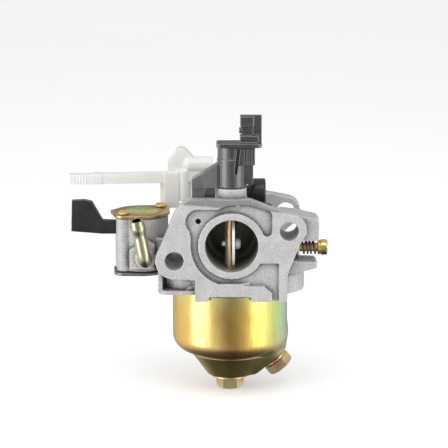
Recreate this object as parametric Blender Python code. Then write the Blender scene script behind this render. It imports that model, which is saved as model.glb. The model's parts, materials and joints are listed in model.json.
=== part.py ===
"""A float-bowl carburetor for a small single-cylinder engine.

Every size is written in millimetres, and the finished meshes are scaled to metres.
Origin: centre of the throttle bore on the engine-side flange face. +Y runs through the
bore towards the air cleaner, +Z is up, and the float bowl hangs below the body.
"""

import math

import bmesh
import bpy
from mathutils import Matrix, Vector

METRES_PER_MM = 0.001
GAP = 0.3                       # clearance between pieces that touch or nearly touch

# Body
BODY_LENGTH = 42.0              # engine face to air-cleaner face
STUD_SPACING = 42.0             # between the two mounting studs
STUD_TILT = math.radians(14.8)  # the line of the studs, right side up
STUD_HOLE_R = 3.35
STUD_X = STUD_SPACING / 2 * math.cos(STUD_TILT)
STUD_Z = STUD_SPACING / 2 * math.sin(STUD_TILT)
FRONT_FLANGE = 7.0
REAR_FLANGE = 6.0
FACE_RELIEF = 1.6               # depth of the pocket around the bore on the engine face
BORE_RING_R = 11.9              # raised sealing ring around the throttle bore
BARREL_R = 12.4

# Air passage
THROTTLE_BORE_R = 9.4
VENTURI_R = 7.6
CHOKE_BORE_R = 9.8
THROTTLE_Y = 9.6                # throttle shaft, on the bore's centre line
CHOKE_Y = 32.4                  # choke shaft
VENTURI_Y = 20.8

# Float bowl and what is inside it
BOWL_X = -0.5
BOWL_Y = 21.4
BOWL_R = 21.0
BOWL_WALL = 0.9
SEAT_Z = -18.6                  # underside of the body, where the bowl seals
RIM_Z = SEAT_Z - 0.2
SHOULDER_Z = -37.0
SHOULDER_R = 6.0
SUMP_Z = -52.2                  # lowest face of the bowl
COLUMN_R = 4.5
HEX_FLATS = 8.8                 # both bowl screws, across flats
FLOAT_PIN = (-17.0, BOWL_Y, -22.6)
FLOAT_PIN_R = 0.7
HINGE_HOLE_R = 0.95             # the pin's holes, in the posts and in the float's arm
NEEDLE_X = -11.5
DRAIN_AT = (15.6, BOWL_Y, -46.5)
DRAIN_ANGLE = math.radians(50.0)  # below the horizontal, towards +X

# Fuel valve at the left of the body
VALVE_X = -32.5
VALVE_Y = 19.0
VALVE_R = 9.6
VALVE_TOP = 7.8
VALVE_BOTTOM = -11.5
VALVE_SCREWS = ((-38.6, 12.6), (-25.9, 26.3))
LEVER_CHAMBER_R = 7.6
STRAINER_CHAMBER_R = 7.2
INLET_X = -30.6                 # the bent inlet tube enters the housing here
INLET_Z = -6.2
TUBE_R = 2.4
TUBE_BORE_R = 1.5

# Shafts and the screws that hold the plates
THROTTLE_SHAFT_R = 2.45
CHOKE_SHAFT_R = 2.0
SHAFT_BOTTOM = -12.4
SHAFT_HOLE = (-13.0, 22.0)      # from below the barrel to above both bosses
THROTTLE_SCREW_Z = -1.0
GRIP_COUNT = 8                  # ribs at the end of the choke's finger arm
GRIP_PITCH = 1.1
CHOKE_SCREW_HEIGHTS = (("choke_plate_screw_lower", -3.5), ("choke_plate_screw_upper", 3.5))

# Pilot jet, under its moulded cap
JET_X = 11.6
JET_Y = 29.0

# Idle mixture screw at the right, throttle stop screw on top
MIX_Y = 12.0
MIX_Z = -2.8
STOP_Y = 20.2
STOP_Z = 15.8
SPRING_WIRE_R = 0.32


# ---------------------------------------------------------------- modelling helpers

def make_object(name, mesh_builder):
    """Turn a bmesh into a named object whose faces point out."""
    bmesh.ops.recalc_face_normals(mesh_builder, faces=mesh_builder.faces)
    mesh = bpy.data.meshes.new(name)
    mesh_builder.to_mesh(mesh)
    mesh_builder.free()
    made = bpy.data.objects.new(name, mesh)
    bpy.context.scene.collection.objects.link(made)
    return made


def arc(centre, radius, start, stop, steps):
    """Points of an arc in a plane, angles in degrees."""
    points = []
    for i in range(steps + 1):
        angle = math.radians(start + (stop - start) * i / steps)
        points.append((centre[0] + radius * math.cos(angle), centre[1] + radius * math.sin(angle)))
    return points


def rounded_box(x0, x1, y0, y1, radius, steps=6):
    """Outline of a rectangle with round corners."""
    points = arc((x1 - radius, y1 - radius), radius, 0, 90, steps)
    points += arc((x0 + radius, y1 - radius), radius, 90, 180, steps)
    points += arc((x0 + radius, y0 + radius), radius, 180, 270, steps)
    points += arc((x1 - radius, y0 + radius), radius, 270, 360, steps)
    return points


def hull_outline(circles, steps=24):
    """Outline of the belt drawn tight around circles given as (x, y, radius)."""
    outline = []
    for i in range(steps * 2):
        angle = math.pi * i / steps
        direction = Vector((math.cos(angle), math.sin(angle)))
        x, y, radius = max(circles, key=lambda c: direction.dot(Vector(c[:2])) + c[2])
        outline.append((x + radius * direction.x, y + radius * direction.y))
    return outline


def prism(name, outline, axis, start, stop):
    """Extrude a flat outline along X, Y or Z. The outline's two numbers are the other axes."""
    spots = {
        "X": lambda a, b, c: (c, a, b),
        "Y": lambda a, b, c: (a, c, b),
        "Z": lambda a, b, c: (a, b, c),
    }
    builder = bmesh.new()
    ends = []
    for level in (start, stop):
        ends.append([builder.verts.new(spots[axis](a, b, level)) for a, b in outline])
    builder.faces.new(ends[0])
    builder.faces.new(ends[1])
    for i in range(len(outline)):
        following = (i + 1) % len(outline)
        builder.faces.new((ends[0][i], ends[0][following], ends[1][following], ends[1][i]))
    return make_object(name, builder)


def block(name, x, y, z):
    """A plain box between pairs of limits."""
    return prism(name, [(x[0], y[0]), (x[1], y[0]), (x[1], y[1]), (x[0], y[1])], "Z", z[0], z[1])


def turned(name, profile, at=(0, 0, 0), direction=(0, 0, 1), sides=32, spin=0.0):
    """Turn a closed profile of (radius, height) points about a line through a point."""
    builder = bmesh.new()
    rings = []
    for radius, height in profile:
        if radius < 1e-6:
            rings.append([builder.verts.new((0, 0, height))])
            continue
        ring = []
        for i in range(sides):
            angle = spin + math.tau * i / sides
            ring.append(builder.verts.new((radius * math.cos(angle), radius * math.sin(angle), height)))
        rings.append(ring)
    closed = profile[0][0] > 1e-6
    pairs = list(zip(rings, rings[1:]))
    if closed:
        pairs.append((rings[-1], rings[0]))
    for low, high in pairs:
        for i in range(sides):
            after = i + 1
            corners = [low[i % len(low)], low[after % len(low)]]
            corners += [high[after % len(high)], high[i % len(high)]]
            builder.faces.new(list(dict.fromkeys(corners)))
    made = make_object(name, builder)
    turn = Vector((0, 0, 1)).rotation_difference(Vector(direction).normalized()).to_matrix().to_4x4()
    made.data.transform(Matrix.Translation(Vector(at)) @ turn)
    return made


def rod(name, radius, start, stop, sides=24, spin=0.0):
    """A plain cylinder between two points."""
    span = Vector(stop) - Vector(start)
    profile = [(0, 0), (radius, 0), (radius, span.length), (0, span.length)]
    return turned(name, profile, start, span, sides, spin)


def swept(name, path, radii, sides=12):
    """A round bar along a path of points, with a radius at each and flat ends."""
    points = [Vector(p) for p in path]
    builder = bmesh.new()
    rings = []
    side = None
    for i, point in enumerate(points):
        ahead = points[min(i + 1, len(points) - 1)] - points[max(i - 1, 0)]
        ahead.normalize()
        if side is None:
            side = ahead.orthogonal()
        side = (side - ahead * side.dot(ahead)).normalized()
        other = ahead.cross(side)
        ring = []
        for k in range(sides):
            angle = math.tau * k / sides
            outward = side * math.cos(angle) + other * math.sin(angle)
            ring.append(builder.verts.new(point + outward * radii[i]))
        rings.append(ring)
    for low, high in zip(rings, rings[1:]):
        for k in range(sides):
            after = (k + 1) % sides
            builder.faces.new((low[k], low[after], high[after], high[k]))
    builder.faces.new(rings[0])
    builder.faces.new(rings[-1])
    return make_object(name, builder)


def smooth_path(corners, steps):
    """Points of a Bezier curve whose control points are the corners."""
    points = []
    for i in range(steps + 1):
        share = i / steps
        layer = [Vector(c) for c in corners]
        while len(layer) > 1:
            layer = [a.lerp(b, share) for a, b in zip(layer, layer[1:])]
        points.append(layer[0])
    return points


def coil(name, radius, wire, start, stop, turns, steps=10, sides=5):
    """A helical spring along the line between two points."""
    first = Vector(start)
    span = Vector(stop) - first
    along = span.normalized()
    side = along.orthogonal().normalized()
    other = along.cross(side)
    path = []
    for i in range(turns * steps + 1):
        angle = math.tau * i / steps
        spot = first + span * (i / (turns * steps))
        path.append(spot + (side * math.cos(angle) + other * math.sin(angle)) * radius)
    return swept(name, path, [wire] * len(path), sides)


def is_closed(mesh):
    """Whether every edge of a mesh joins exactly two faces."""
    builder = bmesh.new()
    builder.from_mesh(mesh)
    closed = all(len(edge.link_faces) == 2 for edge in builder.edges)
    builder.free()
    return closed


def combine(base, tool, operation):
    """Join a tool to a base, or cut it away, and drop the tool.

    Faces that only graze each other can leave the exact solver's result open. The
    manifold solver then does that one step.
    """
    modifier = base.modifiers.new(operation.title(), "BOOLEAN")
    modifier.operation = operation
    modifier.object = tool
    for solver in ("EXACT", "MANIFOLD"):
        modifier.solver = solver
        graph = bpy.context.evaluated_depsgraph_get()
        result = bpy.data.meshes.new_from_object(base.evaluated_get(graph))
        if is_closed(result):
            break
    result.name = base.name
    base.modifiers.clear()
    base.data = result
    bpy.data.objects.remove(tool)


def fuse(base, *tools):
    for tool in tools:
        combine(base, tool, "UNION")
    return base


def cut(base, *tools):
    for tool in tools:
        combine(base, tool, "DIFFERENCE")
    return base


def hex_prism(name, across_flats, start, stop, spin):
    return rod(name, across_flats / math.sqrt(3), start, stop, sides=6, spin=spin)


# ---------------------------------------------------------------- cast body

def front_flange():
    """Engine-side flange: a slanted oval between the studs, with a square lower half."""
    outline = [(-15.0, 16.3), (6.3, 16.3), (14.2, 13.3)]
    outline += arc((STUD_X, STUD_Z), 6.2, 68, -8, 6)
    outline += [(24.0, 0.5), (19.8, -10.3), (19.8, -20.2), (7.0, -20.2), (7.0, -18.4)]
    outline += [(-8.0, -18.4), (-8.0, -20.2), (-13.0, -20.2), (-13.0, -12.3)]
    outline += arc((-STUD_X, -STUD_Z), 6.7, 268, 166, 8)
    outline += [(-22.6, 5.8), (-20.4, 11.4), (-17.8, 14.9)]
    return prism("carburetor_body", outline, "Y", 0, FRONT_FLANGE)


def face_pocket():
    """The shallow pocket in the engine face, all round the sealing ring."""
    outline = arc((12.5, 5.3), 1.75, 180, 360, 6)
    outline += arc((12.8, 11.3), 1.45, 0, 70, 3)
    outline += [(6.3, 14.8), (-1.5, 14.6), (-4.8, 13.2)]
    outline += arc((-11.8, 8.7), 4.5, 90, 225, 8)
    outline += [(-14.4, 3.0)]
    outline += arc((0, 0), 14.4, 180, 270, 10)
    outline += [(11.4, -14.4), (14.4, -17.0), (14.4, -25), (16.7, -25), (16.7, -6.2)]
    outline += [(7, -6.2), (7, 5.3)]
    pocket = prism("pocket", outline, "Y", -1, FACE_RELIEF)
    return cut(pocket, rod("ring", BORE_RING_R, (0, -2, 0), (0, 5, 0), 36))


def air_passage():
    """Throttle bore, venturi and choke bore as one cutter along +Y."""
    profile = [(0, -1), (THROTTLE_BORE_R, -1), (THROTTLE_BORE_R, 19.0), (VENTURI_R, VENTURI_Y - 0.6),
               (VENTURI_R, VENTURI_Y + 0.4), (CHOKE_BORE_R, 22.6), (CHOKE_BORE_R, 39.5),
               (CHOKE_BORE_R + 1.5, BODY_LENGTH + 0.01), (CHOKE_BORE_R + 1.5, 44), (0, 44)]
    return turned("air_passage", profile, direction=(0, 1, 0), sides=36)


def valve_housing():
    """The fuel valve's drum, its screw columns and the pad for the fuel inlet."""
    drum = rod("drum", VALVE_R, (VALVE_X, VALVE_Y, VALVE_BOTTOM), (VALVE_X, VALVE_Y, VALVE_TOP), 30)
    for x, y in VALVE_SCREWS:
        fuse(drum, rod("column", 2.7, (x, y, VALVE_BOTTOM), (x, y, VALVE_TOP), 14))
    pad = [(-36.4, -10.0), (-27.4, -10.0), (-27.4, -1.2), (-30.2, 0.6), (-36.4, -2.9)]
    fuse(drum, prism("pad", pad, "Y", 7.0, 16.0))
    fuse(drum, rod("inlet_boss", 3.6, (INLET_X, 6.2, INLET_Z), (INLET_X, 14.0, INLET_Z), 16))
    fuse(drum, block("bridge", (-28.3, -9.0), (11.0, 27.0), (VALVE_BOTTOM, 0.6)))
    return drum


def valve_hollows():
    """Cutters for the lever's chamber, its slot in the wall, and the strainer's chamber."""
    x, y = VALVE_X, VALVE_Y
    chamber = rod("chamber", LEVER_CHAMBER_R, (x, y, -3.0), (x, y, 12.0), 24)
    strainer = rod("strainer_chamber", STRAINER_CHAMBER_R, (x, y, -16.0), (x, y, -7.0), 24)
    slot = prism("slot", [(x, y)] + arc((x, y), 16, 76, 196, 10), "Z", 0.2, 6.4)
    holes = [rod("screw_hole", 1.3, (*at, 1.5), (*at, 12.0), 8) for at in VALVE_SCREWS]
    inlet = rod("inlet_hole", 1.95, (INLET_X, 5.0, INLET_Z), (INLET_X, 12.0, INLET_Z), 16)
    return [chamber, strainer, slot, inlet] + holes


def chamber_cover():
    """The lower block whose underside closes the float bowl."""
    plan = rounded_box(-26.2, 26.4, 5.2, 41.4, 11.0, 6)
    cover = prism("cover", plan, "Z", SEAT_Z, -12.4)
    fuse(cover, rod("seat_disc", BOWL_R + 0.2, (BOWL_X, BOWL_Y, SEAT_Z), (BOWL_X, BOWL_Y, -13.6), 40))
    fuse(cover, rod("shoulder", 11.2, (15.0, 15.6, SEAT_Z), (15.0, 15.6, -10.6), 28))
    return cut(cover, rod("roof", 18.4, (BOWL_X, BOWL_Y, SEAT_Z - 1), (BOWL_X, BOWL_Y, -15.6), 36))


def column_parts():
    """What hangs inside the bowl: the jet column, the float's posts and the needle boss."""
    column = rod("column", COLUMN_R, (BOWL_X, BOWL_Y, -51.0), (BOWL_X, BOWL_Y, -14.0), 20)
    boss = rod("needle_boss", 3.9, (NEEDLE_X, BOWL_Y, -21.6), (NEEDLE_X, BOWL_Y, -14.0), 16)
    posts = []
    for side in (-1, 1):
        near = BOWL_Y + side * 4.0
        far = BOWL_Y + side * 5.8
        posts.append(block("post", (-18.6, -15.4), sorted((near, far)), (-24.6, -14.0)))
    return [column, boss] + posts


def body_additions():
    """Everything that stands on the barrel between the two flanges."""
    barrel = rod("barrel", BARREL_R, (0, 3, 0), (0, 40, 0), 36)
    rear_plan = hull_outline([(0, 0, 14.6), (STUD_X, STUD_Z, 5.5), (-STUD_X, -STUD_Z, 5.5)])
    rear = prism("rear_flange", rear_plan, "Y", BODY_LENGTH - REAR_FLANGE, BODY_LENGTH)
    neck = block("neck", (-12.2, 13.5), (3.0, 39.5), (-16.0, -2.0))
    throttle_boss = rod("throttle_boss", 5.4, (0, THROTTLE_Y, 4), (0, THROTTLE_Y, 19.6), 24)
    choke_boss = rod("choke_boss", 5.0, (0, CHOKE_Y, 4), (0, CHOKE_Y, 16.6), 20)
    deck = prism("deck", rounded_box(-8.0, 5.4, 4.0, 38.0, 3.0, 3), "Z", 5.0, 13.0)
    mix_boss = rod("mix_boss", 4.0, (9.0, MIX_Y, MIX_Z), (24.3, MIX_Y, MIX_Z), 18)
    stop_lug = block("stop_lug", (1.7, 4.6), (STOP_Y - 3.4, STOP_Y + 3.4), (9.0, 19.2))
    jet_boss = rod("jet_boss", 3.9, (JET_X, JET_Y, -3.0), (JET_X, JET_Y, 7.0), 18)
    jet_web = block("jet_web", (6.0, 12.0), (JET_Y - 3.0, JET_Y + 3.0), (-3.0, 6.4))
    side_wall = block("side_wall", (-26.2, -24.6), (4.0, 16.4), (-17.0, -6.5))
    web = block("web", (-26.0, -11.0), (10.0, 30.0), (-13.0, -9.0))
    front_boss = rod("front_boss", 3.2, (-13.7, 4.4, SEAT_Z), (-13.7, 12, SEAT_Z), 20)
    lip = prism("lip", rounded_box(-26.2, -6.0, 3.4, 14.0, 3.0, 3), "Z", SEAT_Z, SEAT_Z + 1.6)
    return [barrel, rear, neck, throttle_boss, choke_boss, deck, mix_boss, stop_lug, jet_boss, jet_web,
            side_wall, web, front_boss, lip]


def screw_guards():
    """The ear above the mixture screw and the fin below it."""
    ear = [(17.0, 11.2), (22.6, 10.6), (30.2, 8.8), (31.1, 7.9), (31.1, 1.6), (30.4, 0.9)]
    ear += [(25.2, 0.9), (23.6, -1.0), (17.0, -1.0)]
    fin = [(17.0, -5.0), (23.6, -6.5), (29.8, -6.8), (30.6, -7.6), (30.6, -8.5), (29.9, -9.2)]
    fin += [(24.0, -10.6), (17.0, -11.8)]
    return [prism("ear", ear, "Y", 5.0, 16.5), prism("fin", fin, "Y", 5.0, 16.0)]


def upright_hole(name, radius, x, y, z, sides):
    """A cutter along Z between two heights."""
    return rod(name, radius, (x, y, z[0]), (x, y, z[1]), sides)


def bowl_seat():
    """Cutters that keep the room under the seat clear, and the gasket's groove."""
    groove_r = BOWL_R - 0.1
    groove = [(19.6, -1), (groove_r, -1), (groove_r, 1.1), (19.6, 1.1)]
    return [
        upright_hole("bowl_room", BOWL_R + 0.5, BOWL_X, BOWL_Y, (-30.0, SEAT_Z + 0.03), 40),
        block("below_lip", (-40, -5), (3.2, 20.0), (-30.0, SEAT_Z + 0.06)),
        turned("groove", groove, (BOWL_X, BOWL_Y, SEAT_Z), sides=40),
    ]


def stud_holes():
    """The two through holes of the mounting studs."""
    holes = []
    for side in (-1, 1):
        x, z = side * STUD_X, side * STUD_Z
        holes.append(rod("stud_hole", STUD_HOLE_R, (x, -2, z), (x, BODY_LENGTH + 2, z), 24))
    return holes


def bores():
    """Cutters for the shafts, the screws, the jets, the needle seat and the float's pin."""
    pin_x, pin_y, pin_z = FLOAT_PIN
    pin_reach = 7.0
    return [
        rod("air_bleed", 1.0, (-11.8, -2, 8.7), (-11.8, 5, 8.7), 10),
        upright_hole("throttle_hole", THROTTLE_SHAFT_R + GAP, 0, THROTTLE_Y, SHAFT_HOLE, 18),
        upright_hole("choke_hole", CHOKE_SHAFT_R + GAP, 0, CHOKE_Y, SHAFT_HOLE, 16),
        rod("mix_hole", 2.0, (8.0, MIX_Y, MIX_Z), (30.0, MIX_Y, MIX_Z), 12),
        rod("stop_hole", 1.9, (0, STOP_Y, STOP_Z), (8.0, STOP_Y, STOP_Z), 12),
        upright_hole("jet_hole", 2.5, JET_X, JET_Y, (-1.5, 11.0), 14),
        upright_hole("jet_seat", 3.7, JET_X, JET_Y, (7.0, 14.0), 18),
        upright_hole("column_hole", 3.15, BOWL_X, BOWL_Y, (-55.0, -34.7), 16),
        upright_hole("nozzle_hole", 2.3, BOWL_X, BOWL_Y, (-40.0, -5.0), 12),
        upright_hole("seat_hole", 3.2, NEEDLE_X, BOWL_Y, (-26.0, -17.4), 14),
        rod("pin_hole", HINGE_HOLE_R, (pin_x, pin_y - pin_reach, pin_z),
            (pin_x, pin_y + pin_reach, pin_z), 8),
    ]


def make_body():
    body = front_flange()
    cut(body, face_pocket())
    fuse(body, *body_additions())
    fuse(body, chamber_cover(), valve_housing(), *screw_guards())
    cut(body, *bowl_seat())
    fuse(body, *column_parts())
    cut(body, air_passage(), *valve_hollows())
    return cut(body, *stud_holes(), *bores())


# ---------------------------------------------------------------- float bowl

def bowl_shape(name, grow, sump):
    """The bowl's turned shape, solid to its axis. Grow is 0 outside and negative inside."""
    radius = SHOULDER_R + grow
    centre = (BOWL_R - SHOULDER_R, SHOULDER_Z)
    top = RIM_Z if grow == 0 else RIM_Z + 3.0
    profile = [(0, top), (BOWL_R + grow, top)] + arc(centre, radius, 0, -90, 5) + sump
    return turned(name, profile, (BOWL_X, BOWL_Y, 0), sides=48)


def drain_axis():
    return Vector((math.cos(DRAIN_ANGLE), 0, -math.sin(DRAIN_ANGLE)))


def make_bowl():
    """Pressed cup with a sump, bulged at +X to give the drain screw a flat face."""
    sump = [(13.6, -43.4), (12.6, -44.6), (8.2, -50.6), (7.2, SUMP_Z), (0, SUMP_Z)]
    bowl = bowl_shape("float_bowl", 0, sump)
    face = Vector(DRAIN_AT)
    along = drain_axis()
    bulge = [(0, -7), (9.0, -7), (5.3, -0.6), (5.0, 0), (0, 0)]
    fuse(bowl, turned("drain_bulge", bulge, face, along, 20))
    floor = SUMP_Z + BOWL_WALL
    cut(bowl, bowl_shape("inside", -BOWL_WALL, [(12.8, -42.1), (11.6, -43.8), (6.8, floor), (0, floor)]))
    cut(bowl, rod("bolt_hole", 3.3, (BOWL_X, BOWL_Y, SUMP_Z - 2), (BOWL_X, BOWL_Y, SUMP_Z + 3), 16))
    return cut(bowl, rod("drain_hole", 3.1, face - along * 8.0, face + along * 2.0, 12))


def make_bowl_fasteners():
    """The gasket, the centre bolt and the drain screw, each with its washer."""
    gasket = turned("bowl_gasket", [(19.9, 0.9), (19.9, 0.0), (20.6, 0.0), (20.6, 0.9)],
                    (BOWL_X, BOWL_Y, SEAT_Z), sides=40)
    washer_top = SUMP_Z - 0.25
    washer = turned("bowl_bolt_washer", [(3.4, -1.1), (6.7, -1.1), (6.7, 0), (3.4, 0)],
                    (BOWL_X, BOWL_Y, washer_top), sides=24)
    head_top = washer_top - 1.4
    head_height = 3.8
    head = ((BOWL_X, BOWL_Y, head_top - head_height), (BOWL_X, BOWL_Y, head_top))
    bolt = hex_prism("bowl_bolt", HEX_FLATS, *head, 0)
    fuse(bolt, rod("shank", 2.9, (BOWL_X, BOWL_Y, head_top - 0.5), (BOWL_X, BOWL_Y, -40.0)))
    along = drain_axis()
    face = Vector(DRAIN_AT)
    ring = [(3.2, 0.25), (4.9, 0.25), (4.9, 1.05), (3.2, 1.05)]
    drain_washer = turned("drain_screw_washer", ring, face, along, 20)
    drain = hex_prism("drain_screw", HEX_FLATS, face + along * 1.35, face + along * 4.8, math.radians(30))
    fuse(drain, rod("shank", 2.85, face - along * 5.5, face + along * 1.6))
    return [gasket, washer, bolt, drain_washer, drain]


# ---------------------------------------------------------------- float, needle and jets

def make_float():
    """A C-shaped float that reaches round the jet column, with its hinge arm."""
    outline = arc((BOWL_X, BOWL_Y), 16.8, -152, 152, 24)
    outline += arc((BOWL_X, BOWL_Y), 7.4, 152, -152, 14)
    floating = prism("float", outline, "Z", -38.4, -27.4)
    arm = [(-18.4, -24.3), (-18.4, -21.4), (-15.6, -21.4), (-15.6, -25.6)]
    arm += [(-14.4, -26.4), (-8.6, -26.4), (-8.6, -28.4), (-16.4, -28.4)]
    fuse(floating, prism("arm", arm, "Y", BOWL_Y - 3.6, BOWL_Y + 3.6))
    fuse(floating, block("yoke", (-14.8, -8.6), (BOWL_Y - 9.0, BOWL_Y + 9.0), (-29.6, -27.0)))
    x, y, z = FLOAT_PIN
    return cut(floating, rod("hinge_hole", HINGE_HOLE_R, (x, y - 6, z), (x, y + 6, z), 12))


def make_float_gear():
    """The float's pin, and the inlet needle with its seat."""
    x, y, z = FLOAT_PIN
    pin = rod("float_pin", FLOAT_PIN_R, (x, y - 6.4, z), (x, y + 6.4, z), 12)
    point = [(0, 0), (1.4, 0), (1.4, 4.6), (0.4, 6.2), (0, 6.2)]
    needle = turned("inlet_needle", point, (NEEDLE_X, BOWL_Y, -26.1), sides=16)
    ring = [(2.9, -23.4), (2.9, -17.8), (0.7, -17.8), (0.7, -19.2), (1.65, -19.8), (1.65, -23.4)]
    seat = turned("needle_seat", ring, (NEEDLE_X, BOWL_Y, 0), sides=24)
    return [pin, needle, seat]


def make_jets():
    """Main jet and nozzle in the column, and the capped pilot jet beside the choke."""
    column = (BOWL_X, BOWL_Y, 0)
    disc = [(0.5, -38.4), (2.8, -38.4), (2.8, -35.2), (0.5, -35.2)]
    tube = [(0.9, -34.4), (2.0, -34.4), (2.0, -9.0), (1.6, -7.2), (1.6, -5.6), (0.9, -5.6)]
    capped = [(0, -0.9), (1.1, -0.9), (2.2, 2.0), (2.2, 7.3), (3.4, 7.3), (3.4, 9.0)]
    capped += [(2.8, 9.6), (0, 9.6)]
    main_jet = turned("main_jet", disc, column, sides=20)
    nozzle = turned("main_nozzle", tube, column, sides=20)
    return [main_jet, nozzle, turned("pilot_jet", capped, (JET_X, JET_Y, 0), sides=14)]


# ---------------------------------------------------------------- throttle

def make_throttle_shaft():
    """A brass shaft, flat on its +X side where it crosses the bore."""
    ends = ((0, THROTTLE_Y, SHAFT_BOTTOM), (0, THROTTLE_Y, 26.0))
    shaft = rod("throttle_shaft", THROTTLE_SHAFT_R, *ends, 24)
    cut(shaft, block("flat", (-0.15, 4.0), (THROTTLE_Y - 4, THROTTLE_Y + 4), (-9.2, 9.2)))
    return cut(shaft, throttle_screw_hole())


def throttle_screw_hole():
    z = THROTTLE_SCREW_Z
    return rod("screw_hole", 1.2, (-4, THROTTLE_Y, z), (4, THROTTLE_Y, z), 12)


def make_throttle_plate():
    plate = rod("throttle_plate", 9.1, (0.15, THROTTLE_Y, 0), (1.15, THROTTLE_Y, 0), 36)
    return cut(plate, throttle_screw_hole())


def make_throttle_screw():
    profile = [(0, -3.4), (0.9, -3.4), (0.9, 1.45), (1.95, 1.45), (1.95, 2.6), (1.4, 3.3), (0, 3.3)]
    at = (0, THROTTLE_Y, THROTTLE_SCREW_Z)
    return turned("throttle_plate_screw", profile, at, (1, 0, 0), 16)


def lever_post():
    """The notched post on top of the throttle lever, which the governor rod hooks on."""
    y = THROTTLE_Y
    return [
        block("post_foot", (2.9, 9.4), (y - 3.6, y + 2.0), (35.2, 38.4)),
        block("post_neck", (3.6, 7.4), (y - 2.6, y + 2.0), (38.0, 42.0)),
        block("post_head", (3.0, 7.7), (y - 3.6, y + 2.4), (41.7, 45.2)),
        block("post_back", (7.0, 10.6), (y - 0.6, y + 2.4), (35.2, 45.2)),
        rod("post_peg", 1.1, (2.6, y - 0.8, 40.1), (5.0, y - 0.8, 40.1), 12),
    ]


def make_throttle_lever():
    """Moulded lever: hub, stop arm to the left, and the head with its post."""
    y = THROTTLE_Y
    lever = rod("throttle_lever", 5.2, (0, y, 19.9), (0, y, 30.0), 24)
    head = arc((0, y), 5.0, 90, 270, 12) + [(8.2, y - 5.0), (8.2, y + 4.6)]
    arm = [(-14.2, 19.6), (-14.2, 22.7), (-5.0, 28.4), (-2.0, 28.4), (-2.0, 19.9)]
    foot = [(-14.2, 15.2), (-14.2, 20.2), (-8.4, 20.2), (-10.0, 15.2)]
    fuse(lever, prism("head", head, "Z", 28.2, 35.0))
    fuse(lever, block("rib", (4.0, 7.6), (y - 3.2, y + 3.0), (21.0, 28.8)))
    fuse(lever, prism("cap", rounded_box(-5.4, 10.6, y - 5.4, y + 3.4, 1.2, 2), "Z", 34.4, 35.9))
    fuse(lever, prism("stop_arm", arm, "Y", y - 3.4, y + 2.4))
    fuse(lever, prism("stop_foot", foot, "Y", y - 1.6, y + 2.4))
    fuse(lever, block("foot_back", (-12.0, -5.9), (y + 0.4, y + 2.4), (15.2, 20.4)))
    fuse(lever, *lever_post())
    slot = [(1.0, 25.0), (1.8, 25.0), (3.0, 33.8), (1.9, 33.8)]
    cut(lever, prism("slot", slot, "Y", y - 8.0, y - 2.6))
    for x in (4.6, 6.3):
        cut(lever, block("groove", (x, x + 0.6), (y - 6.0, y - 4.4), (27.0, 33.8)))
    return cut(lever, rod("shaft_room", THROTTLE_SHAFT_R + 0.2, (0, y, 15.0), (0, y, 26.4), 24))


# ---------------------------------------------------------------- choke

def cut_choke_screw_holes(piece):
    for _, z in CHOKE_SCREW_HEIGHTS:
        cut(piece, rod("screw_hole", 1.1, (0, CHOKE_Y - 4, z), (0, CHOKE_Y + 4, z), 12))
    return piece


def make_choke_shaft():
    """Thinner shaft, flat on its +Y side where it crosses the bore."""
    ends = ((0, CHOKE_Y, SHAFT_BOTTOM), (0, CHOKE_Y, 21.0))
    shaft = rod("choke_shaft", CHOKE_SHAFT_R, *ends, 20)
    cut(shaft, block("flat", (-4, 4), (CHOKE_Y - 0.15, CHOKE_Y + 4), (-9.6, 9.6)))
    return cut_choke_screw_holes(shaft)


def make_choke_plate():
    faces = ((0, CHOKE_Y + 0.15, 0), (0, CHOKE_Y + 1.05, 0))
    return cut_choke_screw_holes(rod("choke_plate", 9.5, *faces, 36))


def make_choke_screws():
    profile = [(0, -2.4), (0.8, -2.4), (0.8, 1.35), (1.7, 1.35), (1.7, 2.2), (1.2, 2.6), (0, 2.6)]
    screws = []
    for name, z in CHOKE_SCREW_HEIGHTS:
        screws.append(turned(name, profile, (0, CHOKE_Y, z), (0, 1, 0), 14))
    return screws


def choke_arm():
    """The long finger arm, with its row of grip ribs and the thumb pad beside them."""
    y = CHOKE_Y
    arm = prism("arm", [(-59.6, 16.6), (-59.6, 20.1), (-24.0, 21.0), (-24.0, 17.0)], "Y", y - 1.8, y + 1.8)
    for i in range(GRIP_COUNT):
        x = -59.2 + GRIP_PITCH * i
        fuse(arm, block("grip", (x, x + 0.6), (y - 2.1, y + 2.1), (16.5, 20.2)))
    return fuse(arm, block("pad", (-50.6, -47.4), (y - 2.1, y + 2.1), (16.6, 20.5)))


def make_choke_lever():
    """White moulded lever: hub, domed knuckle, hanging leg and the long finger arm."""
    y = CHOKE_Y
    lever = rod("choke_lever", 5.0, (0, y, 17.0), (0, y, 22.0), 20)
    knob = [(0, 0), (2.9, 0), (2.9, 9.2), (2.0, 10.4), (0, 10.6)]
    dome = [(-23.4, 17.6), (-23.4, 24.4), (-20.4, 28.4)] + arc((-18.5, 27.2), 2.6, 130, 40, 5)
    dome += [(-13.8, 25.9), (-13.8, 17.6)]
    fuse(lever, block("link", (-20.0, 0.0), (y - 1.9, y + 2.8), (17.4, 21.8)))
    fuse(lever, turned("stub", knob, (-6.8, y, 23.7), (-1, 0, 0), 16))
    fuse(lever, prism("dome", dome, "Y", y - 0.6, y + 5.4))
    fuse(lever, block("leg", (-24.6, -19.2), (y - 2.0, y + 1.6), (7.8, 20.8)))
    fuse(lever, block("leg_rib", (-26.2, -24.0), (y, y + 3.8), (7.8, 18.0)))
    fuse(lever, rod("post", 2.4, (-17.2, y, 10.4), (-17.2, y, 21.6), 20))
    fuse(lever, choke_arm())
    return cut(lever, rod("shaft_room", CHOKE_SHAFT_R + 0.2, (0, y, 14.0), (0, y, 21.3), 24))


# ---------------------------------------------------------------- fuel valve

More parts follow.
